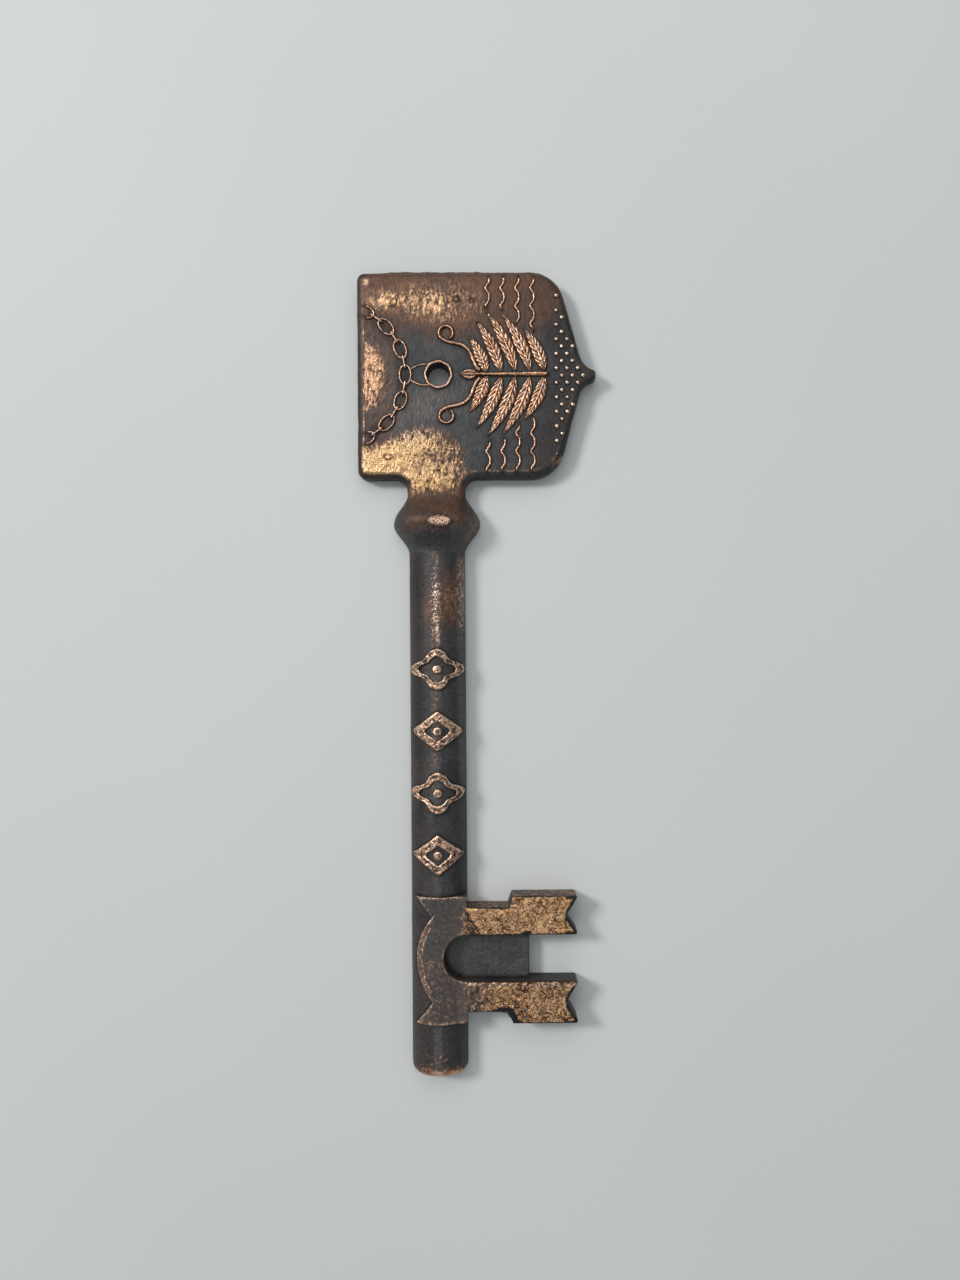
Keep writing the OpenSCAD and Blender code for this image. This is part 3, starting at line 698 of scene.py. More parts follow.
def antique(name, grit=0.5, pits=0.5, curls=0.0, cracks=0.0, bump=0.6, draw=(1, 1, 1)):
    """A material of the key. It reads the values that each mesh carries on its points."""
    if name in bpy.data.materials:
        return bpy.data.materials[name]
    finish, groups = bpy.context.scene.key_finish, bpy.data.node_groups
    material = bpy.data.materials.new(name)
    material.use_nodes = True
    t = Nodes(material.node_tree)
    read = {key: t.add("Attribute", attribute_name=key).outputs["Fac"]
            for key in ("wear", "brown", "gold", "pale", "soot", "grain")}
    inputs = {"Amount": read["grain"], "Pits": pits, "Curls": curls, "Cracks": cracks, "Draw": draw}
    grain = t.add("Group", inputs, node_tree=groups.get("Cast grain") or cast_grain()).outputs
    dark = t.times(grain["Hollow"], t.times(read["grain"], 1.4))
    inputs = {key.title(): read[key] for key in ("wear", "brown", "gold", "pale")}
    inputs |= {f"{key.title()} colour": (*getattr(finish, key), 1)
               for key in ("patina", "brown", "copper", "gold", "pale")}
    inputs |= {"Soot_and_shade": t.top(read["soot"], dark, clamp=True), "Grit": grit, "Draw": draw}
    plating = t.add("Group", inputs, node_tree=groups.get("Aged plating") or aged_plating()).outputs
    relief = t.add("Bump", {"Strength": bump, "Distance": 0.25 * MM, "Height": grain["Height"]})
    shader = t.tree.nodes["Principled BSDF"].inputs
    t.put(shader["Base Color"], plating["Color"])
    t.put(shader["Roughness"], plating["Roughness"])
    t.put(shader["Metallic"], plating["Metallic"])
    t.put(shader["Normal"], relief.outputs["Normal"])
    return material


def bow_plating():
    """The finish of the bow and collar, with short marks drawn up and down."""
    return antique("Bow plating", grit=0.27, pits=0.45, bump=0.8, draw=(1.5, 0.55, 1))


def dark_plating():
    """The darker finish of the shank and bit."""
    return antique("Dark plating", grit=0.4, pits=0.3, bump=0.6)


# Lines of the relief

def chain_place(step):
    """Centre and direction of a chain link, counted in half links from the middle one."""
    a = CHAIN_STEP * step
    return (np.array([CHAIN_X + CHAIN_R * math.cos(a), CHAIN_R * math.sin(a)]),
            np.array([-math.sin(a), math.cos(a)]))


def ring_line(i, inset):
    """Middle line of chain ring 1 to 7, counterclockwise."""
    centre, along = chain_place(2 * i - 8)
    loop = resampled(circle(1, 180) * [RING_L / 2 - inset, RING_W / 2 - inset], 0.2)
    return centre + loop[:, :1] * along + loop[:, 1:] * left_of(along)


def bar_line(i):
    """Middle line of chain bar 1 to 6."""
    centre, along = chain_place(2 * i - 7)
    return centre + np.linspace(-BAR_L / 2, BAR_L / 2, 25)[:, None] * along


def bail_line(side):
    """Middle line of a strand, from the chain's middle ring to the eyelet's rim."""
    ring_side = RING_W / 2 * math.sqrt(1 - (2 * BAIL_Y / RING_L) ** 2)
    start = np.array([CHAIN_X + CHAIN_R + ring_side - 0.15, BAIL_Y])
    stop = (RIM_R - 0.1) * np.array([math.cos(BAIL_TURN), math.sin(BAIL_TURN)])
    middle = np.array([(start[0] + stop[0]) / 2, BAIL_BEND])
    t = np.linspace(0, 1, 22)[:, None]
    return ((1 - t) ** 2 * start + 2 * t * (1 - t) * middle + t ** 2 * stop) * [1, side]


def bead_spots():
    """Centres of the studs, which fill a triangle that points to the nose."""
    slope = BEAD_HALF / (BEAD_APEX - BEAD_X)
    spots = [(BEAD_X + BEAD_COLUMN * column, BEAD_Y + BEAD_ROW * (row + (0 if column % 2 else 0.5)))
             for column in range(6) for row in range(-8, 9)]
    return np.array([(x, y) for x, y in spots if abs(y) <= slope * (BEAD_APEX - x)])


def straight(start, stop, count):
    """Points along the bow's middle line."""
    return np.stack([np.linspace(start, stop, count), np.zeros(count)], 1)


def leaf_reach(i):
    """How far leaf pair 1 to 5 reaches to the side."""
    return 0.9 * LEAF_L * LEAF_SHARES[i - 1] + STEM_W / 2


def wave_stretches(i):
    """The two lines of wavy line 1 to 4, above and below the sprig."""
    x = BEAD_X - 5.85 - 3.7 * (4 - i)
    clear = (leaf_reach(3) + 1, leaf_reach(2) + 1, leaf_reach(1) + 1, leaf_reach(1) - 0.8)[i - 1]
    lines = []
    for start, stop in ((clear, FACE_HALF), (-FACE_HALF, -clear)):
        y = np.linspace(start, stop, int((stop - start) / 0.2))
        turn = TURN * y / WAVE_L
        lines.append(np.stack([x + WAVE_AMP * (np.sin(turn) + 0.22 * np.cos(2 * turn)), y], 1))
    return lines


def walked(headings, step, start):
    """A line that takes one step along each heading, in degrees."""
    a = np.radians(headings)
    steps = step * np.stack([np.cos(a), np.sin(a)], 1)
    return np.asarray(start) + np.concatenate([[[0, 0]], np.cumsum(steps, axis=0)])


def leaf_line(i):
    """Midrib of the upper leaf of pair 1 to 5."""
    x = SPRIG_X - 0.65 - LEAF_PITCH * (i - 1)
    half = STEM_W / 2 * (1 - (SPRIG_X - x) / (2 * STEM_L))
    long = LEAF_L * LEAF_SHARES[i - 1]
    steps = 44
    k = np.arange(steps)
    return walked(180 - LEAF_LEAN - LEAF_BEND * (0.5 - k / steps), long / steps, (x, half + 0.05))


def tendril_line():
    """Middle line of the upper tendril with its scroll."""
    steps, scroll = 88, 0.6
    t = np.arange(steps) / steps
    headings = np.where(t < scroll, 140 - 30 * np.sin(TURN * t / scroll),
                        140 - 290 * (t - scroll) / (1 - scroll))
    return walked(headings, 22 / steps, (BUD_X + 0.8, (STEM_W + 1.9) / 4 + 0.15))


def mirrored(line):
    """A line on the other side of the bow's middle."""
    return np.asarray(line) * [1, -1]


def leaf_halves(n):
    """Half width of a leaf at n points along it."""
    width = bpy.context.scene.key_relief.leaf / MM
    k = np.linspace(0, 1, n)
    return 0.12 + width / 2 * np.sin(math.pi * k ** 0.75)


def bud_halves(n):
    """Half width of the bud at n points along it."""
    return 0.08 + 1.4 * np.sin(math.pi * np.linspace(0, 1, n) ** 0.8)


def relief_marks():
    """Points along everything raised on the face, with half its width there."""
    lines = [(ring_line(i, 0.3), 0.3) for i in range(1, 8)]
    lines += [(bar_line(i), 0.38) for i in range(1, 7)]
    lines += [(bail_line(side), 0.2) for side in (1, -1)]
    lines += [(line, 0.3) for i in range(1, 5) for line in wave_stretches(i)]
    for i in range(1, 6):
        leaf = leaf_line(i)
        lines += [(line, leaf_halves(len(leaf))) for line in (leaf, mirrored(leaf))]
    lines += [(line, 0.42) for line in (tendril_line(), mirrored(tendril_line()))]
    lines += [(straight(SPRIG_X, BUD_X, 60), 0.5), (straight(BUD_X, BUD_X - BUD_L, 20), bud_halves(20)),
              (bead_spots(), 0.5), (circle(RIM_R - 0.3, 79), 0.3)]
    return np.concatenate([np.c_[line, np.broadcast_to(half, len(line))] for line, half in lines])


def relief_gap(points):
    """Distance in the plane to the edge of the nearest raised thing on the face."""
    marks = relief_marks()
    index, distance = nearest(points, marks)
    return distance - marks[index, 2]


# Pieces

def bow_corners():
    """Outline of the plate with its neck and the pointed nose."""
    neck = (AXIS_X - NECK_W / 2, AXIS_X + NECK_W / 2)
    root = NOSE_REACH - NOSE_L
    shoulder = root - (BOW_HALF - NOSE_ROOT_HALF) * math.tan(SLANT)
    return [
        (neck[0], NECK_Y - TANG_L, 0), (neck[1], NECK_Y - TANG_L, 0),
        (neck[1], -BOW_HALF, NECK_FILLET), (shoulder, -BOW_HALF, SHOULDER_R),
        (root, -NOSE_ROOT_HALF, NOSE_FILLET, 0.6), (NOSE_REACH, -NOSE_HALF, NOSE_HALF, 0.35),
        (NOSE_REACH, NOSE_HALF, NOSE_HALF, 0.35), (root, NOSE_ROOT_HALF, NOSE_FILLET, 0.6),
        (shoulder, BOW_HALF, SHOULDER_R), (-BOW_LEFT, BOW_HALF, 1.9),
        (-BOW_LEFT, -BOW_HALF, 2.4), (neck[0], -BOW_HALF, NECK_FILLET),
    ]


def upright(start, stop, count):
    """Steps of a slab's straight side."""
    return [(0.0, level) for level in np.linspace(start, stop, count)]


def bow_shape(pitch):
    """The plate, its bevel rounded into the face."""
    steps = [(0.35, 0.0), (0.08, 0.12), (0.0, 0.4), *upright(0.9, PLATE_T - 1.5, 6)]
    steps += [(inset, PLATE_T - drop) for inset, drop in (
        (0.06, 1.15), (0.3, 0.8), (0.62, 0.48), (0.95, 0.25), (1.25, 0.1), (BEVEL_W, 0.0))]
    return slab(bow_corners(), steps, pitch, 10, 1.15, 1.1, [circle(BORE_R, 56)])


def neck_fade(x, y):
    """How far the rub reaches down the neck before it fades on the collar."""
    jag = noise(np.stack([x, 0.25 * y, 0 * x], 1), 0.55, 81, 2)
    return smooth(y + 1.6 * jag, NECK_Y - 2.3, NECK_Y + 2.1)


def neck_rub(x, y):
    """Rubbed metal that runs down the neck and fades on to the collar."""
    u = x - AXIS_X
    down = neck_fade(x, y) * smooth(y, -18.0, -23.5)
    return down * smooth(u, -6.2, -4.6) * smooth(u, 6.6, 3.6) * (1.0 - 0.035 * np.clip(u + 1.0, 0, 9))


def lower_rub(x, y):
    """Rubbed metal in the lower left of the bow: how far inside it a place is, and how bright."""
    top = np.interp(x, (-17.4, -7.5, -3.4, 1.2, 4.4, 6.9, 9.2),
                    (-16.9, -13.0, -12.3, -12.9, -15.0, -20.4, -24.2))
    within = smooth(top - y, -1.6, 4.6)
    return (within * (0.5 + 0.56 * smooth(x - 0.35 * (y + 21), 0.5, -9.5)) * smooth(x, 9.5, 5.0)
            * neck_fade(x, y))


def bow_masks(p, n):
    """Rubbed places, brown edges and dark hollows of the bow. The dark round the relief is patina with
    painted shade, and the dark beside the chain and on faces tilted away from the top is painted shade.
    """
    x, y, z = p.T
    gap = relief_gap(p)
    rim = outline_gap(p, rounded(bow_corners(), 0, 10))
    face = smooth(n[:, 2], 0.45, 0.92) * smooth(z, PLATE_T - 0.7, PLATE_T - 0.25)
    across, along = x * 0.94 - y * 0.34, x * 0.34 + y * 0.94
    streaks = noise(np.c_[across, along, z], (0.36, 1.9, 1), 21, 2)
    mottle = noise(p, 2.4, 7)
    dimples = noise(p, 0.95, 9, 2)
    upper = most(
        0.75 * patch(x, y, -11.8, 18.4, 6.2, 2.6, -6, 0.9),
        0.67 * patch(x, y, -2.0, 17.8, 9.8, 4.4, -9, 0.9),
        0.46 * patch(x, y, 5.0, 18.6, 8.5, 4.8, -6, 0.9))
    upper *= 0.9 + 0.5 * streaks + 0.1 * dimples
    left = smooth(np.hypot(x - CHAIN_X, y + 0.2), 15.2, 9.6) * smooth(np.abs(y + 0.2), 12.8, 6.4)
    left *= 0.8 + 0.12 * mottle + 0.24 * streaks + 0.14 * dimples
    lower = lower_rub(x + 1.6 * mottle, y + 0.8 * mottle)
    lower *= 1 + (0.14 + 0.22 * smooth(x, -13, -5)) * streaks + 0.28 * dimples * smooth(x, -12, -3)
    neck = neck_rub(x, y) * (0.9 + 0.14 * dimples + 0.34 * streaks)
    haze = patch(x, y, -3.5, -8.5, 10, 6, 12, 0.9)
    inner = smooth(rim, 1.75, 2.1)
    tongue = 6.9 + 1.5 * smooth(y, -26.5, -24.5)
    low_inner = most(smooth(rim, 0.85, 1.15) * (y > -26.0),
                     smooth(np.abs(x - AXIS_X), tongue, tongue - 1.3) * (y < -23.5))
    worn = most(upper * inner, left * inner, lower * low_inner, neck,
                haze * (0.18 + 0.14 * streaks)) * face
    edge = bell(rim - 1.72, 0.14) * smooth(n[:, 2], 0.6, 0.85)
    left_edge = smooth(x, -16.8, -17.6)
    low_edge = smooth(y, -23.0, -23.8) * smooth(x, 5.0, 8.0)
    edge *= 0.55 * left_edge + 0.6 * low_edge + 0.06 + 0.8 * noise(p, 0.9, 31)
    corner = patch(x, y, -17.7, 23.1, 0.7, 1.0, 0, 0.9) * 0.7
    scuff = patch(x, y, 30.0, -21.0, 2.4, 0.9, 50, 0.8) * (0.3 + 0.5 * dimples)
    scuff *= smooth(n[:, 2], 0.1, 0.5)
    worn = most(worn, edge, corner * smooth(n[:, 2], 0.3, 0.8), scuff)
    brown = smooth(y + 0.12 * x + 1.6 * mottle, 7.2, 14.0) * (0.9 - 0.1 * smooth(x, 2, 12))
    brown *= smooth(x + 0.5 * (14 - y), 33, 26) * (1 - 0.7 * smooth(x, 23, 26) * smooth(y, 15, 11.5))
    brown = most(brown, 0.5 * smooth(x, -7.5, -13.5), 0.8 * smooth(y, NECK_Y + 3.5, NECK_Y + 0.5))
    brown *= smooth(z, 1.6, PLATE_T - 0.4) * smooth(n[:, 2], -0.3, 0.5)
    chain_side = np.hypot(x - CHAIN_X, y)
    studs = smooth(x + 0.25 * np.abs(y), BEAD_X - 1.2, BEAD_X + 0.4) * face
    right = smooth(x, 13, 22) * smooth(y, 13, 8) * face
    # Painted shade: round the relief (together with patina), beside the chain, and on faces tilted away
    # from the top. The studs, right field, bevel and pits are the finish's own tone.
    soot = most(
        0.85 * face * np.exp(-most(gap, 0) / 0.4),
        0.5 * face * smooth(np.abs(chain_side - 16.9), 2.3, 0.9) * smooth(x, -18, -17),
        0.45 * studs, 0.25 * right, 0.55 * smooth(n[:, 2], 0.8, 0.25),
        (0.13 + 0.18 * smooth(x, -3, -10)) * np.clip(lower + neck, 0, 1)
        + 0.12 * smooth(x, -1, 3) * smooth(lower, 0.1, 0.4),
        0.6 * smooth(rim, 1.7, 1.3) * smooth(x, -17.3, -18.0),
        0.22 * smooth(y + 0.15 * x, 7.0, 10.0) * smooth(worn, 0.3, 0.1) * face)
    pits = smooth(dimples + 0.5 * streaks, -0.3, -0.6) * smooth(worn, 0.25, 0.5) * 0.85
    pits *= 1 - 0.8 * smooth(x, -8, -13) * smooth(y, -12, -16)
    rings = (blemish(x, y, -12.7, -20.3, 1.3, 0.85, 241) + blemish(x, y, -11.0, 18.0, 0.9, 1.15, 243)
             + blemish(x, y, 4.6, 18.8, 1.0, 0.9, 245)
             + 0.8 * blemish(x, y, 8.4, 18.4, 0.8, 0.7, 247)) * face
    gold = most(lower_rub(x, y), neck_rub(x, y), 0.55 * smooth(y, 10, 14))
    calm = most(smooth(y, 8, 14), smooth(y, -15, -19) * smooth(x, -5, -10))
    pale = 0.14 - 0.11 * smooth(y, 7, 12) * smooth(worn, 0.4, 0.2)
    pale += 0.3 * smooth(x, 2, 8) * smooth(worn, 0.3, 0.6)
    pale = pale * smooth(y, -29, -24) + 0.3 * (corner > 0.3) + 0.3 * (edge > 0.2)
    return {"wear": np.clip(worn, 0, 1.15), "brown": most(brown, studs * 0.1),
            "gold": 0.3 + 0.65 * gold, "soot": most(soot, pits, np.clip(1.7 * rings, 0, 0.9)),
            "grain": 0.12 + 0.88 * np.clip(worn, 0, 1) * (1 - 0.5 * calm),
            "pale": most(pale, haze * face * (0.95 + 0.5 * mottle))}


def bow_change(p, n):
    """Hammered places, pits, uneven sides, and flash along the upper edge."""
    x, y, z = p.T
    depth = bpy.context.scene.key_relief.hammer / MM
    face = smooth(n[:, 2], 0.6, 0.95)
    area = most(
        patch(x, y, -3, 17.6, 15, 5.5, -4, 0.4) * 0.7, smooth(lower_rub(x, y), 0.1, 0.5),
        smooth(np.hypot(x - CHAIN_X, y), 15.2, 13.2) * 0.8, neck_rub(x, y))
    near, _ = cells(warped(p, 0.5, 1.5, 41), 1.25, 4)
    lumps = noise(p, 0.95, 13) + (0.5 - near) * 0.7 + 0.4 * noise(p, 0.5, 14, 1)
    pits = -smooth(near, 0.26, 0.06) * smooth(noise(p, 3.0, 17, 1), 0.0, 0.3) * 2.0
    move = face * area * depth * (lumps + pits)
    move += face * depth * 0.4 * noise(p, 4.5, 19) + face * depth * 0.16 * noise(p, 0.8, 18)
    side = smooth(n[:, 2], 0.7, 0.2) * smooth(z, 0.0, 0.6)
    flash = smooth(y, BOW_HALF - 1.2, BOW_HALF - 0.4)
    flash *= smooth(z, 0.6, 1.4) * smooth(z, PLATE_T - 0.6, 2.6)
    ragged = 0.4 * smooth(np.abs(x + 1.5), 13.5, 10.5) + 0.28 * noise(p, (1.6, 3, 3), 27, 4)
    ragged += 0.12 * (noise(p, (6, 4, 9), 26, 1) > 0)
    uneven = 0.12 * noise(p, (3, 3, 6), 23) + 0.05 * noise(p, 0.9, 29)
    return move + side * (uneven + flash * ragged)


class KEY_OT_bow(bpy.types.Operator):
    """Build the bow plate with its hammered and rubbed places"""

    bl_idname = "key.bow"
    bl_label = "Bow plate"

    def execute(self, context):
        shape = lifted(bow_shape(context.scene.key_relief.pitch / MM), lambda x, y: y < NECK_Y)
        made("bow_plate", "cast", shape, "bow_patina", bow_plating(), bow_masks, bow_change)
        return {"FINISHED"}


def raised_masks(height, high_wear=0.95, pale=0.35, top=(0.3, 0.9)):
    """Masks of a raised line on the face: bare metal along its top and dark at its foot."""

    def masks(p, n):
        rise = (p[:, 2] - PLATE_T) / height
        wear = 0.1 + (high_wear - 0.1) * smooth(rise, *top) * (0.85 + 0.45 * noise(p, 0.9, 51))
        return {"wear": wear, "gold": 0.1 + 0.2 * noise(p, 3, 53), "brown": 0.7,
                "soot": most(0.75 * smooth(rise, 0.6, 0.1), 0.5 * smooth(noise(p, 0.6, 54), 0.2, 0.5)),
                "grain": 0.5, "pale": pale * smooth(noise(p, 1.3, 55), -0.4, 0.4)}

    return masks


def rough_cast(amount, size=0.7, seed=0):
    """An even cast roughness, less on the underside."""

    def change(p, n):
        return amount * noise(p, size, seed) * smooth(n[:, 2], -0.2, 0.4)

    return change


class KEY_OT_eyelet(bpy.types.Operator):
    """Build the flanged eyelet in the hanging hole"""

    bl_idname = "key.eyelet"
    bl_label = "Hanging eyelet"

    def execute(self, context):
        lip, top, barrel = HOLE_R + 0.22, RIM_TOP - 0.15, BORE_R + 0.15
        mid, half = (lip + RIM_R) / 2, (RIM_R - lip) / 2
        arc = np.linspace(-0.1, 1.1, 13) * math.pi
        crown = np.stack([mid + half * np.cos(arc), top - 0.36 + 0.36 * np.sin(arc)], 1)
        profile = np.concatenate([
            [[barrel, 0.02], [barrel, 2.0], [barrel, PLATE_T - 0.3], [RIM_R, PLATE_T - 0.2]], crown,
            [[lip, PLATE_T - 0.1], [HOLE_R + 0.05, PLATE_T - 0.8], [HOLE_R, 3.0], [HOLE_R, 1.8],
             [HOLE_R, 0.35], [HOLE_R + 0.12, 0.02]]])

        def change(p, n):
            a = np.arctan2(p[:, 1], p[:, 0])
            faces = 0.05 * np.cos(8 * a + 0.7) * smooth(np.hypot(n[:, 0], n[:, 1]), 0.2, 0.7)
            faces *= np.sign(n[:, 0] * p[:, 0] + n[:, 1] * p[:, 1])
            return (0.08 * noise(p, 1.1, 71) + faces) * smooth(p[:, 2], PLATE_T - 0.2, PLATE_T + 0.2)

        def masks(p, n):
            up = smooth(p[:, 2], PLATE_T + 0.1, PLATE_T + 0.5)
            # Painted shade: below the rim the barrel is darkened, which shows as the dark wall of the
            # hanging hole.
            return {"wear": 0.12 + 0.82 * up * (0.9 + 0.35 * noise(p, 1.1, 73)), "gold": 0.1,
                    "brown": 0.4 * up, "soot": 0.8 * smooth(p[:, 2], PLATE_T + 0.25, PLATE_T - 0.4),
                    "grain": 0.4, "pale": 0.35}

        raised("hanging_eyelet", "ring", turned(profile, 96), masks, change)
        return {"FINISHED"}


class KEY_OT_chain(bpy.types.Operator):
    """Build the chain's rings and bars and the two strands of the bail"""

    bl_idname = "key.chain"
    bl_label = "Chain"

    def execute(self, context):
        wire = context.scene.key_relief.wire / MM
        masks = raised_masks(0.46, 0.85, 0.6, (0.5, 0.95))
        for i in range(1, 8):
            line = ring_line(i, wire / 2)
            shown = line[:, 0] > FACE_LEFT + 0.2
            if shown.all():
                shape = ridge(line, wire / 2, 0.5, 8, closed=True)
            else:
                start = -int(np.argmax(~shown))
                line = np.roll(line, start, axis=0)[np.roll(shown, start)]
                s = np.linspace(0, 1, len(line))
                taper = np.clip(np.minimum(s, 1 - s) * 12, 0.35, 1)
                shape = ridge(line, wire / 2 * taper, 0.5 * taper, 8)
            raised(f"chain_ring_{i}", "wire", shape, masks, rough_cast(0.06, seed=60 + i))
        masks = raised_masks(0.72, pale=0.7, top=(0.4, 0.9))
        for i in range(1, 7):
            line = bar_line(i)
            t = np.linspace(-1, 1, len(line))
            halves = wire * (0.62 + 0.08 * np.cos(t * 9)) * np.clip(1.02 - np.abs(t) ** 7, 0.1, 1)
            heights = 0.78 * np.clip(1.05 - np.abs(t) ** 8, 0.15, 1)
            raised(f"chain_bar_{i}", "link", ridge(line, halves, heights, 8), masks,
                   rough_cast(0.09, seed=70 + i))
        for i, side, wear in ((1, 1, 0.5), (2, -1, 0.9)):
            raised(f"bail_strand_{i}", "wire", ridge(bail_line(side), 0.22, 0.28, 8),
                   raised_masks(0.26, wear, 0.6), rough_cast(0.03, seed=80 + i))
        return {"FINISHED"}


class KEY_OT_waves(bpy.types.Operator):
    """Build the four wavy lines"""

    bl_idname = "key.waves"
    bl_label = "Wavy lines"

    def execute(self, context):
        width = context.scene.key_relief.wave / MM
        for i in range(1, 5):
            shapes = []
            for line in wave_stretches(i):
                s = np.linspace(0, 1, len(line))
                ends = np.clip(np.minimum(s, 1 - s) * 14, 0.25, 1)
                halves = width / 2 * ends * (1 + 0.22 * noise(level(line), 1.3, 90 + i))
                shapes.append(ridge(line, halves, 0.42 * ends, 8))
            raised(f"wave_line_{i}", "ridge", joined(*shapes), raised_masks(0.36, 1.05),
                   rough_cast(0.06, seed=90 + i))
        return {"FINISHED"}


class KEY_OT_studs(bpy.types.Operator):
    """Build the field of round studs"""

    bl_idname = "key.studs"
    bl_label = "Studs"

    def execute(self, context):
        r, n = context.scene.key_relief.stud / MM / 2, 18
        shapes = []
        for i, spot in enumerate(bead_spots()):
            size = r * (1 + 0.12 * hashed(i, 3, 5, 7))
            profile = [(size * 1.12, -0.25), (size * 1.12, 0.02)]
            profile += [(size * math.cos(t), 0.06 + size * 0.95 * math.sin(t))
                        for t in np.linspace(0, TURN / 4, 8)[:-1]]
            rows = [level(circle(radius, n, *spot), PLATE_T + z) for radius, z in profile]
            faces = woven(len(rows), n)
            top = (len(rows) - 1) * n
            faces += [[top + k, top + (k + 1) % n, len(rows) * n] for k in range(n)]
            faces.append(list(range(n))[::-1])
            shapes.append((np.concatenate(rows + [[[*spot, PLATE_T + 0.06 + size * 0.95]]]), faces))

        def masks(p, n):
            up = smooth(p[:, 2] - PLATE_T, 0.2 * r, 0.75 * r)
            return {"wear": 0.08 + 1.1 * up, "gold": 0.45, "brown": 0.5, "soot": 0.85 * (1 - up),
                    "grain": 0.3, "pale": 0.8}

        raised("bead_studs", "domes", joined(*shapes), masks, rough_cast(0.04, 0.5, 101),
               aging=(0.0, 0.0))
        return {"FINISHED"}


def leaf_section(t, s):
    """Cross-section of a leaf: a rounded blade with a midrib and slanting side veins."""
    blade = np.clip(1 - np.abs(t) ** 3, 0, 1) ** 0.5 * (0.70 - 0.2 * bell(np.abs(t), 0.3))
    rib = 0.48 * bell(t, 0.13) * (1 - 0.45 * s)
    veins = 0.17 * np.cos(TURN * (9 * s - 1.6 * np.abs(t))) * np.abs(t) * (1 - t * t) * 2
    return blade + rib + veins


def bud_section(t, s):
    """Cross-section of the bud: three lobes side by side."""
    return np.clip(1 - np.abs(t) ** 2.4, 0, 1) ** 0.55 * (0.9 + 0.22 * np.cos(TURN * t * 1.5))


class KEY_OT_sprig(bpy.types.Operator):
    """Build the leafy sprig with its bud and tendrils"""

    bl_idname = "key.sprig"
    bl_label = "Sprig"

    def execute(self, context):
        rise, worn = 0.8, {"aging": (0.85, 3.0)}
        stem = straight(SPRIG_X, BUD_X - 0.3, 90)
        halves = np.linspace(STEM_W / 2, STEM_W / 4, 90) * (1 + 0.12 * noise(level(stem), 1.2, 109))
        halves[:3] *= [0.5, 0.8, 0.95]
        raised("sprig_stem", "ridge", ridge(stem, halves, rise, 12), raised_masks(rise),
               rough_cast(0.1, 0.7, 111), **worn)
        bud = ridge(straight(BUD_X, BUD_X - BUD_L, 30), bud_halves(30), 0.88, 18, section=bud_section)
        raised("sprig_bud", "lobes", bud, raised_masks(0.8), rough_cast(0.08, 0.6, 112), **worn)
        for i in range(1, 6):
            leaf = leaf_line(i)
            s = np.linspace(0, 1, len(leaf))
            heights = rise * np.clip(0.45 + np.minimum(s * 6, (1 - s) * 2.4), 0.3, 1)
            shapes = []
            for line in (leaf, mirrored(leaf)):
                halves = leaf_halves(len(leaf)) * (1 + 0.07 * noise(level(line), 1.4, 110))
                shapes.append(ridge(line, halves, heights, 20, section=leaf_section))
            raised(f"sprig_leaf_pair_{i}", "blades", joined(*shapes), raised_masks(0.66),
                   rough_cast(0.09, 0.7, 113 + i), **worn)
        for i, line in ((1, tendril_line()), (2, mirrored(tendril_line()))):
            halves = 0.475 * (1 - 0.4 * np.linspace(0, 1, len(line)))
            halves *= 1 + 0.12 * noise(level(line), 1.1, 119)
            halves[-3:] *= [0.9, 0.7, 0.4]
            raised(f"sprig_tendril_{i}", "scroll", ridge(line, halves, 0.68, 10), raised_masks(0.62),
                   rough_cast(0.1, 0.8, 120 + i), **worn)
        return {"FINISHED"}


def round_row(y, half, height, square, around):
    """Cross-section of the collar or shank, from the right over the top to the left, then back
    along the flat underside."""
    a = np.linspace(0, math.pi, around)
    x = half * np.sign(np.cos(a)) * np.abs(np.cos(a)) ** square
    z = height * np.maximum(np.sin(a), 0) ** square
    under = np.linspace(-half, half, around // 3)[1:-1]
    return np.stack([AXIS_X + np.r_[x, under], np.full(len(x) + len(under), y), np.r_[z, 0 * under]], 1)


def collar_size(s):
    """Half width, height and squareness of the collar at a distance below the neck."""
    if s <= COLLAR_RISE:
        up = (1 - math.cos(math.pi * max(s, 0) / COLLAR_RISE)) / 2
        sunk = 0.16 * float(smooth(s, 1.6, -0.2))
        return (NECK_W / 2 + (COLLAR_R - NECK_W / 2) * up - sunk,
                PLATE_T + (COLLAR_H - PLATE_T) * up - sunk, 0.55 + 0.45 * up)
    down = (1 + math.cos(math.pi * min((s - COLLAR_RISE) / COLLAR_FALL, 1))) / 2
    sunk = 0.008 * float(smooth(s, COLLAR_RISE + COLLAR_FALL - 1.0, COLLAR_RISE + COLLAR_FALL))
    return (SHANK_R + (COLLAR_R - SHANK_R) * down - sunk,
            SHANK_R + (COLLAR_H - SHANK_R) * down - sunk, 1.0)


def collar_shape():
    """The collar, from just inside the neck to the shank."""
    end = COLLAR_RISE + COLLAR_FALL
    return loft([round_row(NECK_Y - s, *collar_size(min(s, end)), 96)
                 for s in np.linspace(-0.25, end, 62)])


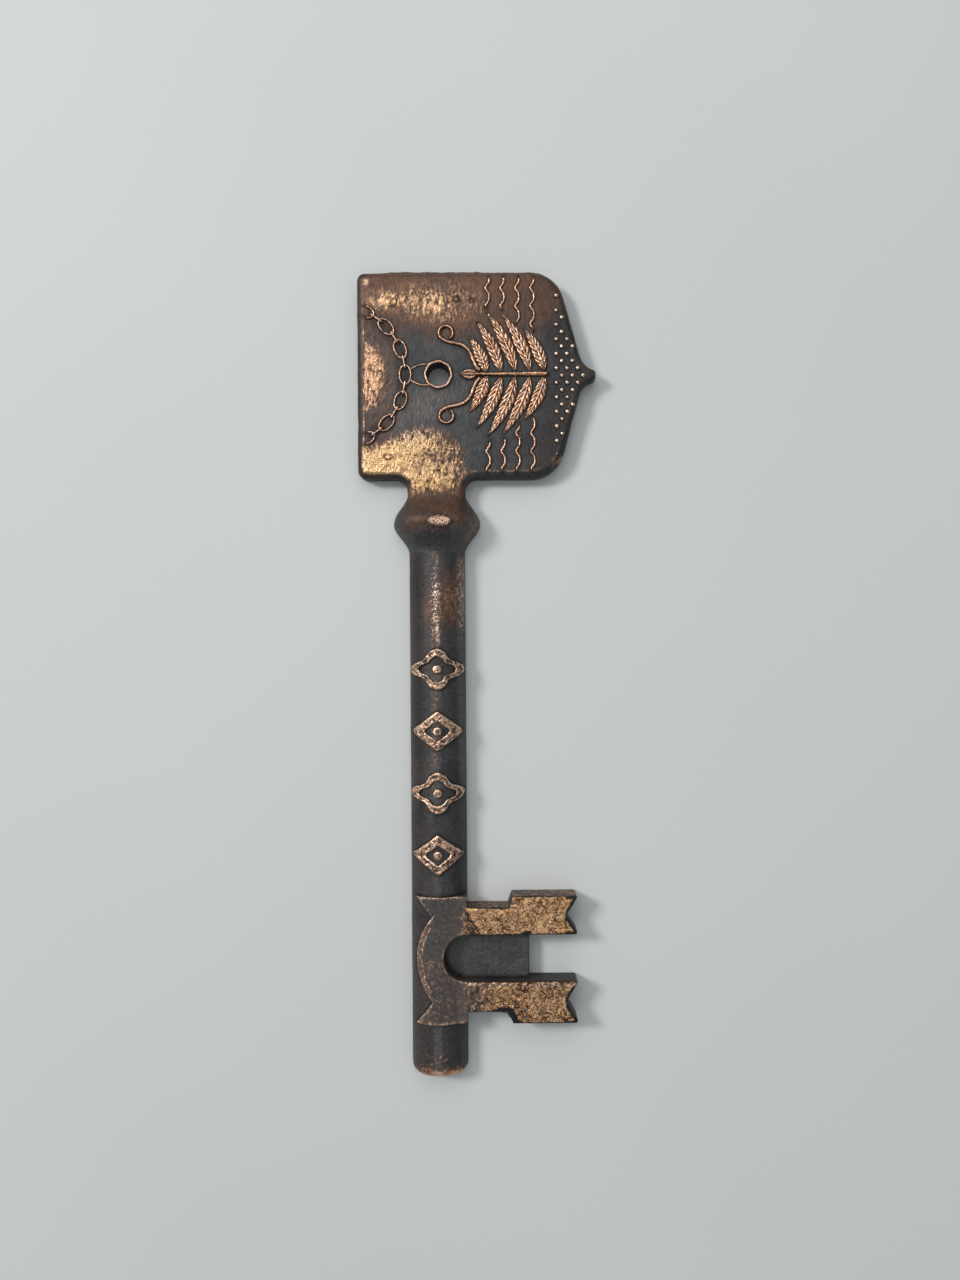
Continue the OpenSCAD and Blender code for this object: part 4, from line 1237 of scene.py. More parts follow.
def collar_masks(p, n):
    """A rubbed eye on the collar's crest, brown below the neck, a pale right flank that is a painted
    reflection, and painted shade on the sides, the left shoulder and the slope up to the neck.
    """
    x, y, z = p.T
    u, v = x - AXIS_X, y - CREST_Y
    rough = noise(p, 0.7, 131)
    eye = np.hypot((u - 0.75) / 2.9, (v + 0.1) / 1.45)
    spot = 1.1 * smooth(eye + 0.26 * rough, 1.0, 0.75)
    specks = smooth(noise(p, 0.34, 137, 2), 0.0, 0.5)
    haze = patch(u, v, -0.2, -0.9, 5.8, 2.6, 0, 0.9) * (0.06 + 0.42 * specks)
    rub = neck_rub(x, y)
    # Painted reflection: the right flank is lightened and greyed.
    flank_reflection = 0.1 * smooth(u, 2.5, 4.5) * smooth(v, 0.5, -1.5) + 0.16 * smooth(u, 6.3, 8.3)
    flank_reflection *= smooth(z, 0.5, 1.5)
    wear = most(most(spot, haze) * smooth(n[:, 2], 0.3, 0.6), flank_reflection,
                rub * (0.9 + 0.3 * noise(p, 0.8, 136)))
    brown = smooth(v, -3.8, 0.4) * smooth(np.abs(u), 10.5, 5.5) * 0.74
    ring = bell(eye - 0.68 + 0.2 * rough, 0.13) * smooth(u, 3.0, 0.4) * 0.9
    outer = bell(eye - 1.12 + 0.3 * rough, 0.1) * 0.8
    squiggle = bell(v - 0.15 - 0.3 * np.sin(2.4 * u), 0.22) * smooth(eye, 0.62, 0.4)
    # Painted shade: calm darkens the left shoulder, where a lamp reflects, and the slope up to the
    # neck, and the sides darken as they turn from the top. The rings and squiggle are real marks.
    calm = 0.5 * patch(u, v, -4.8, 0.3, 3.4, 1.7, 0, 0.8) + 0.16 * smooth(v, 0.4, 1.6)
    soot = most(smooth(n[:, 2], 0.5, 0.0) * (0.28 - 0.2 * smooth(u, 3, 8)), calm * (1 - rub),
                ring, outer, 0.9 * squiggle, 0.4 * smooth(noise(p, 0.6, 138), 0.1, 0.5) * haze)
    return {"wear": wear, "brown": brown, "gold": 0.3 + 0.6 * rub, "soot": soot,
            "grain": 0.2 + 0.8 * np.clip(wear, 0, 1),
            "pale": 0.4 * np.clip(spot, 0, 1) + 0.1 + 0.5 * smooth(flank_reflection, 0.02, 0.1)}


class KEY_OT_collar(bpy.types.Operator):
    """Build the collar between bow and shank"""

    bl_idname = "key.collar"
    bl_label = "Collar"

    def execute(self, context):
        def change(p, n):
            edge = smooth(p[:, 1], NECK_Y, NECK_Y - 2) * smooth(p[:, 1], SHANK_Y, SHANK_Y + 1.5)
            rub = patch(p[:, 0], p[:, 1], AXIS_X, CREST_Y, 6, 2.5)
            rough = 0.08 * noise(p, 3.2, 133) + 0.03 * noise(p, 1, 134)
            rough += 0.06 * rub * noise(p, 0.7, 135)
            return rough * smooth(p[:, 2], 0, 0.8) * edge

        made("collar", "cast", collar_shape(), "bow_patina", bow_plating(), collar_masks, change)
        return {"FINISHED"}


def in_slot(x, y, grow=0.0):
    """Which places lie in the round-ended slot between the wards."""
    round_end = np.hypot(x - ROOT_X, y - BIT_Y) < SLOT_R + grow
    return round_end | ((x > ROOT_X) & (np.abs(y - BIT_Y) < SLOT_R + grow))


def shank_shape():
    """The half-round bar with its rounded end, cut level with the web where the slot enters it."""
    bend = SHANK_Y - END_Y - END_R
    a = np.linspace(0, TURN / 4, 9)
    places = [(s, 0.0) for s in np.arange(-IN_COLLAR, bend, 0.34)]
    places += zip(bend + END_R * np.sin(a), END_R * (1 - np.cos(a)))
    rows = [round_row(SHANK_Y - s, SHANK_R - less, SHANK_R - less, 1.0, 90) for s, less in places]
    last, middle = rows[-1], np.array([AXIS_X, END_Y, 2.2])
    points, faces = loft(rows + [middle + (last - middle) * share for share in (0.72, 0.45, 0.2)])
    cut = in_slot(points[:, 0], points[:, 1], 0.3)
    points[:, 2] = np.where(cut, np.minimum(points[:, 2], WEB_T - 0.35), points[:, 2])
    return points, faces


def motif_y(i):
    """Middle of ornament 1 to 4 along the shank."""
    (_, near, _), (_, far, _) = box(f"shank_boss_{i}")
    return (near + far) / 2


def lobes(half_w, half_l, n=240):
    """A four-lobed outline."""
    a = np.arange(n) / n * TURN
    r = 1 - 0.16 * (1 - np.cos(4 * a))
    return np.stack([half_w * r * np.cos(a), half_l * r * np.sin(a)], 1)


def lozenge(half_w, half_l, n=240):
    """A lozenge whose points go round evenly, as those of the lobes."""
    corners = [(half_w, 0, 0.6), (0, half_l, 0.6), (-half_w, 0, 0.6), (0, -half_l, 0.6)]
    loop = resampled(rounded(corners), 0.05)
    a = np.arctan2(loop[:, 1] / half_l, loop[:, 0] / half_w) % TURN
    order = np.argsort(a)
    a, loop = a[order], loop[order]
    want = np.arange(n) / n * TURN
    return np.stack([np.interp(want, a, loop[:, k], period=TURN) for k in (0, 1)], 1)


def motif_outline(i):
    """Outer outline of ornament 1 to 4 round its own middle."""
    shape = lobes if i % 2 else lozenge
    return shape(MOTIF_HALF, MOTIF_L / 2)


def shank_masks(p, n):
    """Rub along the crest, a painted sheen along the crest and on the brown patch at the right, a
    painted reflection on the right flank, dark feet of the ornaments, painted shade on the sides, below
    the collar and on the left flank, and a rubbed end.
    """
    x, y, z = p.T
    u = x - AXIS_X
    drift = 0.2 * noise(p, 4, 141)
    crest = bell(u + 0.12 + drift, 1.25)
    run = smooth(y, -70.0, -65.5) * (0.42 * smooth(y, -42.0, -45.0) + 0.58 * smooth(y, -46.0, -56.0))
    grains = noise(p, (0.32, 0.5, 1), 143, 2)
    streak = crest * run * (0.56 + 0.85 * grains)
    lower = smooth(y, -50.0, -58.0)
    right = 1.15 * smooth(np.abs(u - 3.6), 2.9, 1.2) * smooth(y, -64.5, -59.0) * smooth(y, -46.0, -54.0)
    left = smooth(np.abs(u + 2.1), 1.9, 0.5) * smooth(y, -65.0, -60.0) * lower * 0.6
    haze = smooth(np.abs(u), 3.4, 0.5) * smooth(y, -67, -61) * smooth(y, -48, -57) * 0.5
    end = smooth(y, END_Y + 3.6, END_Y + 0.4)
    end_wear = end * smooth(n[:, 2], -0.2, 0.3) * smooth(np.abs(u), 7.5, 3.5)
    end_wear *= 0.88 + 0.34 * noise(p, 1.2, 147)
    marks = 0.5 * patch(x, y, AXIS_X + 0.1, END_Y + 6.0, 3.0, 2.6, 0, 0.6)
    marks *= smooth(noise(p, 0.62, 145), 0.06, 0.4)
    score = bell(y - END_Y - 4.1 - 0.28 * u, 0.16) * smooth(np.abs(u + 1.5), 4.5, 3.2) * 0.55
    rim = smooth(n[:, 2], 0.25, 0.05) * smooth(z, 0.0, 0.5) * 0.12
    # Painted highlight: a sheen along the crest below the collar, and a lift on the brown patch at the
    # right.
    painted_sheen = 0.07 * bell(u + 0.3 + drift, 1.7) * smooth(y, -66.0, -70.0) * (1 + 0.8 * grains)
    painted_sheen += 0.24 * right
    # Painted highlight: ground lays a grey sheen along the crest between the ornaments.
    ground = bell(u + 0.3 + drift, 1.1) * smooth(y, -72.0, -76.0)
    ground *= 0.24 * smooth(y, -110.0, -100.0) + 0.13 * smooth(y, -116.0, -125.0)
    # Painted reflection: a light grey band along the right flank.
    flank_reflection = smooth(u + 0.5 * noise(p, (2, 5, 2), 148), 4.0, 6.0)
    flank_reflection *= smooth(z, 0.3, 1.2) * smooth(y, -41.5, -47.5)
    flank_reflection *= 0.12 * smooth(y, -108.0, -96.0) + 0.32 * smooth(y, -70.0, -54.0)
    flank_reflection *= 0.95 + 0.25 * noise(p, (0.6, 7, 0.6), 149)
    wear = most(streak, end_wear, marks, score, rim, painted_sheen, ground, flank_reflection)
    brown = most(right, left, haze, end * 0.95, 0.12 * smooth(u, 1.0, -5.0))
    halo = np.zeros(len(p))
    for i in range(1, 5):
        close = np.abs(y - motif_y(i)) < MOTIF_L / 2 + 1.5
        loop = motif_outline(i) + [AXIS_X, motif_y(i)]
        halo[close] = np.exp(-most(outline_gap(p[close], loop) - 0.1, 0) / 0.3)
    close = (y < BIT_Y + UPPER_HEAD + 2) & (y > BIT_Y - LOWER_HEAD - 2)
    halo[close] = np.exp(-most(outline_gap(p[close], places(saddle_corners())) - 0.1, 0) / 0.35)
    # Painted shade: the sides, the shank just below the collar, and bands on the left flank, where a
    # lamp reflects, are darkened. The dark round the ornaments and the saddle is patina at their feet.
    soot = most(
        0.45 * smooth(n[:, 2], 0.42, 0.0), 0.75 * halo * smooth(n[:, 2], 0.05, 0.3),
        0.16 * smooth(y, SHANK_Y - 7, SHANK_Y - 1),
        0.22 * smooth(u, -1.2, -2.4) + 0.2 * smooth(u, -0.4, -1.4) * smooth(y, -60.0, -50.0)
        + 0.2 * smooth(np.abs(u + 4.0), 1.7, 0.6) * smooth(y, -120.0, -105.0))
    return {"wear": wear, "brown": brown, "gold": 0.1 + 0.1 * lower, "soot": soot,
            "grain": 0.2 + 0.8 * np.clip(wear - 0.9 * flank_reflection, 0, 1),
            "pale": most((1.0 - 0.25 * lower) * crest * smooth(run, 0.0, 0.3),
                         0.75 * smooth(ground + flank_reflection, 0.02, 0.1))}


class KEY_OT_shank(bpy.types.Operator):
    """Build the half-round shank"""

    bl_idname = "key.shank"
    bl_label = "Shank"

    def execute(self, context):
        def change(p, n):
            u = p[:, 0] - AXIS_X
            body = smooth(p[:, 1], SHANK_Y, SHANK_Y - 2) * smooth(p[:, 2], 0, 0.8)
            rub = smooth(np.abs(u), 2.6, 0.6) * patch(p[:, 0], p[:, 1], AXIS_X, -55.5, 9, 13)
            rough = 0.05 * noise(p, 4, 151) + 0.02 * noise(p, 1, 152) + 0.06 * rub * noise(p, 0.5, 153)
            return body * rough

        shape = lifted(shank_shape(), lambda x, y: y > SHANK_Y)
        made("shank", "cast", shape, "dark_patina", dark_plating(), shank_masks, change)
        return {"FINISHED"}


def on_shank(x, rise):
    """Levels straight above x that stand off the half-round shank by a rise."""
    u = np.clip(np.abs(x - AXIS_X), 0, SHANK_R - 0.02)
    ground = np.sqrt(SHANK_R ** 2 - u ** 2)
    outer = np.sqrt(most((SHANK_R + most(rise, 0)) ** 2 - u ** 2, 0))
    return np.where(rise >= 0, outer, ground + rise)


def frame_shape(outer, inner, y):
    """A raised frame between two outlines, wrapped over the shank."""
    t = np.linspace(0, 1, 19)
    profile = (MOTIF_H + 0.1) * np.clip(1 - np.abs(2 * t - 1) ** 4, 0, 1) ** 0.55
    profile *= 1 - 0.16 * bell(2 * t - 1, 0.42)
    rows = []
    for o, i in zip(outer, inner):
        xy = o + (i - o) * t[:, None] + [AXIS_X, y]
        top = np.c_[xy, on_shank(xy[:, 0], profile)]
        under = np.c_[xy[[-1, 0]], on_shank(xy[[-1, 0], 0], np.array([-0.3, -0.3]))]
        rows.append(np.concatenate([top, under]))
    return loft(rows, closed=True)


def boss_shape(y):
    """A small dome on the shank. Below 0 its steps are millimetres under the shank's surface."""
    rows = []
    steps = ((1.0, -0.3), (1.0, 0.0), (0.97, 0.4), (0.88, 0.7), (0.7, 0.92), (0.45, 1.0), (0.2, 0.96))
    for share, rise in steps:
        xy = circle(share * BOSS_R, 40, AXIS_X, y)
        lift = np.full(len(xy), rise * BOSS_H if rise > 0 else rise)
        rows.append(np.c_[xy, on_shank(xy[:, 0], lift)])
    return loft(rows)


def ornament_masks(p, n):
    """Bare metal on the ornaments' rounded edges, and dark feet."""
    u = p[:, 0] - AXIS_X
    r = np.hypot(u, p[:, 2])
    rise = r - SHANK_R
    facing = (n[:, 0] * u + n[:, 2] * p[:, 2]) / r
    up = smooth(rise, 0.2, 0.55)
    rough = noise(p, 0.55, 161)
    line = smooth(facing, 0.45, 0.72) * smooth(facing, 0.985, 0.9) * smooth(rise, 0.3, 0.5)
    wear = 0.1 + up * most(0.48 + 0.95 * rough, line * (1.0 + 0.45 * rough))
    soot = most(0.95 * smooth(rise, 0.45, 0.12), 0.65 * smooth(rough, -0.12, -0.4))
    return {"wear": wear, "gold": 0.08 + 0.28 * smooth(noise(p, 5, 163), 0.0, 0.3), "brown": 0.5,
            "soot": soot, "grain": 0.75, "pale": 0.35 + 0.5 * line}


class KEY_OT_ornaments(bpy.types.Operator):
    """Build the four framed ornaments and their bosses on the shank"""

    bl_idname = "key.ornaments"
    bl_label = "Shank ornaments"

    def execute(self, context):
        half_w, half_l = MOTIF_HALF, MOTIF_L / 2
        for i in range(1, 5):
            y, outer = motif_y(i), motif_outline(i)
            if i % 2:
                inner = lobes(half_w - MOTIF_BAND, half_l - MOTIF_BAND)
            else:
                inner = lozenge(half_w - 1.6 * MOTIF_BAND, half_l - 1.3 * MOTIF_BAND)
            outer = outer * (1 + 0.03 * noise(level(outer, 4.0 * i), 2.2, 160))[:, None]
            inner = inner * (1 + 0.05 * noise(level(inner, 4.0 * i), 1.6, 159))[:, None]
            raised(f"shank_motif_{i}", "frame", frame_shape(outer, inner, y), ornament_masks,
                   rough_cast(0.12, 0.6, 163 + i), aging=(0.8, 2.6))
            raised(f"shank_boss_{i}", "dome", boss_shape(y), ornament_masks,
                   rough_cast(0.1, 0.6, 173 + i))
        return {"FINISHED"}


def ward_corners(side, arm, head):
    """Outline of a ward: its arm, and the swallow-tailed head at the tip."""
    inner = BIT_Y + side * SLOT_R
    start = WARD_TIP - HEAD_L
    corners = [
        (ROOT_X - 1.2, inner, 0), (WARD_TIP, inner, 0.5),
        (WARD_TIP - 3.1, inner + side * head * 0.49, 0.3), (WARD_TIP, inner + side * head, 0.5),
        (start, inner + side * head, 0.4),
        (start - 1, inner + side * arm, 0.4), (ROOT_X - 1.2, inner + side * arm, 0),
    ]
    return corners if side > 0 else corners[::-1]


def bit_rub(p):
    """Rub of the bit's face: little on the saddle, more and more out along the wards."""
    x, y, _ = p.T
    wander = noise(p, 2.4, 205)
    seam = 4.9 + (ARM_TOP - y) * 0.7
    arm = np.where(x > ROOT_X, 1.0, smooth(y, ARM_TOP + 0.6, ARM_TOP - 0.4))
    upper = 1.02 * smooth(x - seam + 0.6 * wander, -0.4, 0.9)
    upper = most(upper, (0.46 + 0.3 * wander) * smooth(x, 2.5, 6.0)) * arm
    lower = 0.2 + 0.6 * smooth(x + 0.8 * wander, 4.0, 15.0)
    return np.where(y > BIT_Y, upper, lower)


def bit_seam(p):
    """The dark crack that crosses the root of the upper ward."""
    x, y, _ = p.T
    seam = 5.1 + (ARM_TOP - y) * 0.7 + 1.1 * noise(p, 1.5, 206)
    return (bell(x - seam, 0.27) * smooth(y, BIT_Y + SLOT_R, BIT_Y + SLOT_R + 0.5)
            * smooth(y, ARM_TOP + 0.7, ARM_TOP - 0.2))


def ward_cracks(p, seed, wide, fine, rare):
    """Cracks between the lumps of a ward's skin, and the one across the root."""
    near, after = cells(warped(p, 1.7, 1.6, seed), 2.3, seed)
    crack = smooth(after - near, wide, fine) * smooth(noise(p, 2.6, seed + 2, 1), rare, 0.3)
    return most(crack, bit_seam(p))


def ward_change(seed):
    """Lumps, cracks and uneven sides of a ward, and the chip in the lower one."""

    def change(p, n):
        x, y, z = p.T
        face = smooth(n[:, 2], 0.6, 0.95)
        move = face * (0.06 * noise(p, 0.95, seed + 3) - 0.14 * ward_cracks(p, seed, 0.12, 0.0, 0.0))
        side = smooth(n[:, 2], 0.7, 0.2) * smooth(z, 0, 0.6)
        move += side * (0.1 * noise(p, 2.4, seed + 4) + 0.06 * noise(p, 0.8, seed + 5))
        chip = patch(x, y, WARD_TIP - HEAD_L - 1.8, ARM_BOTTOM, 3.0, 1.4, -25, 0.4)
        chip *= (0.45 + 0.4 * noise(p, 0.9, seed + 9)) * smooth(z, WARD_T - 0.4, WARD_T - 1.4)
        move += side * chip
        return move * smooth(x, ROOT_X - 1.2, ROOT_X - 0.2)

    return change


def ward_masks(loop, seed):
    """Rubbed face of a ward inside its ragged border, with dark cracks. Its sides and the unrubbed
    border along the rounded edge are darkened as painted shade, and its walls that face the bow are
    lightened as painted light.
    """

    def masks(p, n):
        x, y, z = p.T
        gap = outline_gap(p, loop)
        face = smooth(n[:, 2], 0.3, 0.85)
        crack = ward_cracks(p, seed, 0.1, 0.02, 0.02)
        rub = bit_rub(p) + 0.1 * noise(p, 1.1, seed + 6) + 0.12 * noise(p, 3.5, seed + 10)
        root = smooth(x, ROOT_X + 7, ROOT_X) * (y < BIT_Y)
        rub += 0.3 * root * noise(p, 0.45, seed + 14, 2)
        border = np.where(x > WARD_TIP - 3.4, 0.85, 0.36) + 0.25 * noise(p, 0.8, seed + 11)
        border += 1.3 * patch(x, y, WARD_TIP - HEAD_L - 1.2, ARM_BOTTOM - 0.4, 3.2, 2.0, -18, 0.5)
        border += 1.1 * patch(x, y, WARD_TIP - 13.0, BIT_Y + SLOT_R, 1.0, 1.6, -20, 0.5)
        border = np.where(x < ROOT_X + 0.6, 1.0, smooth(gap, border - 0.3, border + 0.12))
        edge = bell(z - (WARD_T - 0.06), 0.1) * smooth(n[:, 2], 0.5, 0.9)
        edge *= smooth(x, ROOT_X - 0.5, ROOT_X + 4) * (0.35 + 0.8 * noise(p, 0.8, seed + 7))
        edge *= border > 0.3
        lip = bell(y - BIT_Y + SLOT_R + 0.75, 0.45) * face * (y < BIT_Y)
        lip *= (0.9 + 0.7 * noise(p, 0.7, seed + 12)) * smooth(x, 2.0, 6.0)
        # Painted light: walls that face the bow are lightened.
        wall = smooth(n[:, 2], 0.5, 0.1) * smooth(n[:, 1], 0.3, 0.8) * (y > BIT_Y + SLOT_R + 4)
        side = smooth(n[:, 2], 0.5, 0.1) * smooth(z, WARD_T - 2.6, WARD_T - 0.6)
        wear = most(rub * face * border, edge * (x < WARD_TIP - 0.5), lip, side * 0.16, wall * 0.32)
        brown = (0.6 + 0.1 * smooth(x, ROOT_X + 7, ROOT_X + 2)) * smooth(n[:, 2], -0.3, 0.4) * border
        # Painted shade: the sides and the unrubbed border along the rounded edge are darkened. The
        # cracks are real.
        soot = most(0.9 * crack * face, 0.4 * smooth(n[:, 2], 0.4, -0.1) * (1 - side) * (1 - wall),
                    0.65 * (1 - border) * smooth(n[:, 2], -0.2, 0.5))
        pale = 0.65 * lip + 0.35 * smooth(noise(p, 0.8, seed + 13), 0.1, 0.45)
        return {"wear": wear, "brown": most(brown, side * 0.4, wall * 0.45),
                "gold": (0.55 + 0.4 * noise(p, 3, seed + 8)
                         + 0.3 * smooth(x, WARD_TIP - 10, WARD_TIP - 2)),
                "soot": np.clip(soot, 0, 1),
                "grain": 0.2 + 0.7 * face * smooth(x, ROOT_X - 3, ROOT_X + 5),
                "pale": np.clip(pale, 0.7 * root, 0.7) + 0.35 * wall}

    return masks


def ward_shape(corners, edge, pitch):
    """A ward with a rounded upper edge."""
    steps = [(0.3, 0.0), (0.05, 0.15), (0.0, 0.5), *upright(0.95, WARD_T - edge - 0.3, 12)]
    steps += [(edge * 0.12, WARD_T - edge * 0.55), (edge * 0.42, WARD_T - edge * 0.22), (edge, WARD_T)]
    return slab(corners, steps, pitch, 5)


def saddle_corners():
    """Outline of the saddle: hooked tips, the bulge on the left and the round slot on the right.
    Where it runs on into the wards its edge isn't drawn in."""
    tip_x = AXIS_X - SHANK_R + 1.3
    half = UPPER_HEAD - HOOK_L
    r = (half * half + WAIST_D * WAIST_D) / (2 * WAIST_D)
    span = math.asin(half / r)
    left = AXIS_X - SHANK_R + 1.55
    corners = [(ROOT_X, BIT_Y - LOWER_HEAD, 0), (ROOT_X, ARM_BOTTOM + 0.3, 0, 0.0)]
    slot = np.radians(np.linspace(270, 90, 40))
    corners += [(ROOT_X + SLOT_R * math.cos(a), BIT_Y + SLOT_R * math.sin(a), 0,
                 0.0 if k in (0, len(slot) - 1) else 1.0) for k, a in enumerate(slot)]
    corners += [(ROOT_X, ARM_TOP - 0.3, 0, 0.0), (ROOT_X, BIT_Y + UPPER_HEAD, 0),
                (tip_x, BIT_Y + UPPER_HEAD, 0)]
    corners += [(left + r + r * math.cos(a), BIT_Y + r * math.sin(a), 0)
                for a in np.linspace(math.pi - span, math.pi + span, 60)]
    corners.append((tip_x, BIT_Y - LOWER_HEAD, 0))
    return corners


def saddle_top(x):
    """Height of the saddle: round over the shank, level with the wards on the right."""
    u = x - AXIS_X
    over = np.sqrt(most(SADDLE_R ** 2 - u ** 2, 0))
    flat = WARD_T * smooth(u, -1.5, 2.4)
    k = 0.35
    return np.log(np.exp(over / k) + np.exp(flat / k)) * k - 0.02


def saddle_shape(pitch):
    """The saddle, from inside the shank up to its rounded top."""
    edge = 0.35
    steps = [(0.0, 0.0), (0.0, 0.2), (0.0, 0.45), (0.0, 0.7), (edge * 0.15, 0.86), (edge * 0.5, 0.96),
             (edge, 1.0)]
    points, faces = slab(saddle_corners(), steps, pitch, 4)
    x, y, share = points.T
    u = np.clip(np.abs(x - AXIS_X), 0, SHANK_R)
    bottom = np.sqrt(SHANK_R ** 2 - u ** 2) - 0.35
    bottom = np.where(in_slot(x, y, 0.5), np.minimum(bottom, WEB_T - 0.4), bottom)
    bottom = np.where(x > ROOT_X - 0.6, 0.3, bottom)
    return np.c_[x, y, bottom + (saddle_top(x) - bottom) * share], faces


def saddle_masks(p, n):
    """Bright broken edges of the saddle on dark ground, the rub that runs on to the wards, and its
    sides darkened as painted shade.
    """
    x, y, z = p.T
    gap = outline_gap(p, places(saddle_corners()))
    rough = noise(p, 0.6, 191)
    broken = 0.55 + 0.8 * rough + 0.3 * noise(p, 3.0, 192)
    near_top = smooth(z, saddle_top(x) - 0.7, saddle_top(x) - 0.15)
    slot_edge = in_slot(x, y, 0.9)
    bulge = smooth(x, AXIS_X - 1.0, AXIS_X - 2.0) * smooth(np.abs(y - BIT_Y), 9.5, 6.5)
    edge = bell(gap, np.where(slot_edge, 0.28, 0.3)) * near_top * np.where(slot_edge, 0.8, 1.15)
    second = bell(gap - 1.3, 0.17) * bulge * near_top * (0.75 + 0.7 * rough)
    band = smooth(gap, 1.5, 1.1) * bulge * near_top * (0.4 + 0.7 * rough)
    tip = AXIS_X - SHANK_R + 2.0
    tips = (0.75 * patch(x, y, tip, BIT_Y - LOWER_HEAD + 0.9, 1.2, 1.1)
            + 0.5 * patch(x, y, tip + 0.3, BIT_Y + UPPER_HEAD - 0.5, 1.0, 0.7)) * near_top
    foot = smooth(y, BIT_Y - LOWER_HEAD + 1.6, BIT_Y - LOWER_HEAD + 0.3)
    foot *= (0.42 + 0.8 * rough) * near_top
    edge *= broken
    wide = smooth(x, AXIS_X - 2.0, AXIS_X + 4.0)
    top = smooth(n[:, 2], 0.5, 0.9)
    scratch = noise(p, (0.3, 1.8, 1), 197)
    grey = (0.09 + 0.09 * scratch + 0.07 * wide) * top
    rub = (bit_rub(p) + 0.1 * rough) * smooth(n[:, 2], 0.6, 0.9) * 0.95
    outline = smooth(gap, 1.3, 0.3) * near_top * 0.18
    fade = smooth(x, ROOT_X - 0.1, ROOT_X - 1.2)
    bright = most(edge, second, band, foot, tips * (0.9 + 0.4 * rough)) * fade
    wear = most(bright, rub, outline, grey)
    brown = most(
        0.55 * smooth(x, 3.0, ROOT_X + 4), 0.6 * smooth(y, BIT_Y - LOWER_HEAD + 4, BIT_Y - LOWER_HEAD),
        0.05 + 0.3 * wide, 0.8 * smooth(gap, 1.8, 0.8) * bulge,
        0.68 * smooth(x, ROOT_X - 4.5, ROOT_X - 0.5) * (y < BIT_Y))
    # Painted shade: the saddle's sides darken as they turn from the top. The seam is a real crack.
    soot = most(smooth(n[:, 2], 0.35, 0.0) * 0.5, 0.85 * bit_seam(p))
    return {"wear": wear, "brown": brown, "gold": 0.1 + 0.4 * smooth(x, 2, ROOT_X), "soot": soot,
            "grain": 0.15 + 0.65 * np.clip(most(bright, rub), 0, 1),
            "pale": most(0.6 * (gap < 0.5), (0.45 + 0.5 * wide + 0.3 * scratch) * top * (1 - rub))}


def web_shape(pitch):
    """The recessed web. Its rounded end lies in the slot that enters the shank."""
    grown = SLOT_R + 0.3
    corners = [(ROOT_X + grown * math.cos(a), BIT_Y + grown * math.sin(a), 0)
               for a in np.radians(np.linspace(90, 270, 31))]
    corners += [(WEB_EDGE, BIT_Y - grown, 0), (WEB_EDGE, BIT_Y + grown, 0)]
    steps = [(0.15, 0.0), (0.0, 0.3), *upright(0.8, WEB_T - 0.4, 5), (0.08, WEB_T - 0.12), (0.3, WEB_T)]
    return slab(corners, steps, pitch, 3)


def web_masks(p, n):
    """Painted shade along the web's walls and round its end, and a paler middle as painted light."""
    x, y, z = p.T
    # Painted shade: the web darkens along its walls and round its end, and the pale grey below lightens
    # the rest as painted light.
    wall = smooth(np.abs(y - BIT_Y), SLOT_R - 1.0, SLOT_R)
    back = smooth(np.hypot(x - ROOT_X, y - BIT_Y), SLOT_R - 1.4, SLOT_R) * (x < ROOT_X)
    soot = 0.6 * most(wall, back)
    edge = smooth(x, WEB_EDGE - 0.45, WEB_EDGE) * smooth(z, WEB_T - 0.3, WEB_T) * 0.12
    cloud = noise(p, (2.6, 1.0, 1), 198)
    return {"wear": edge + 0.04, "brown": 0.0, "gold": 0.1, "soot": soot, "grain": 0.3,
            "pale": (0.55 + 0.5 * cloud) * (1 - soot)}


class KEY_OT_bit(bpy.types.Operator):
    """Build the saddle, the web and the two wards"""

    bl_idname = "key.bit"
    bl_label = "Bit"

    def execute(self, context):
        relief = context.scene.key_relief
        edge, pitch = relief.edge / MM, relief.pitch / MM
        copper = antique("Ward plating", grit=0.42, pits=0.45, curls=0.78, cracks=1.0, bump=1.0)

        def saddle_change(p, n):
            worn = 0.05 * (noise(p, 2.5, 193) + noise(p, 0.8, 194)) * smooth(n[:, 2], -0.2, 0.5)
            seam = bit_seam(p) * smooth(n[:, 2], 0.6, 0.9)
            return worn * smooth(p[:, 0], ROOT_X, ROOT_X - 1) - 0.14 * seam

        made("bit_saddle", "cast", saddle_shape(pitch), "dark_patina", dark_plating(), saddle_masks,
             saddle_change)
        web = lifted(web_shape(pitch * 1.4), lambda x, y: x < ROOT_X)
        made("bit_web", "cast", web, "dark_patina", dark_plating(), web_masks,
             rough_cast(0.05, 1.5, 195))
        for name, seed, *sizes in WARDS:
            corners = ward_corners(*sizes)
            ward = lifted(ward_shape(corners, edge, pitch), lambda x, y: x < ROOT_X)
            made(name, "cast", ward, "copper_ward", copper, ward_masks(places(corners), seed),
                 ward_change(seed))
        return {"FINISHED"}


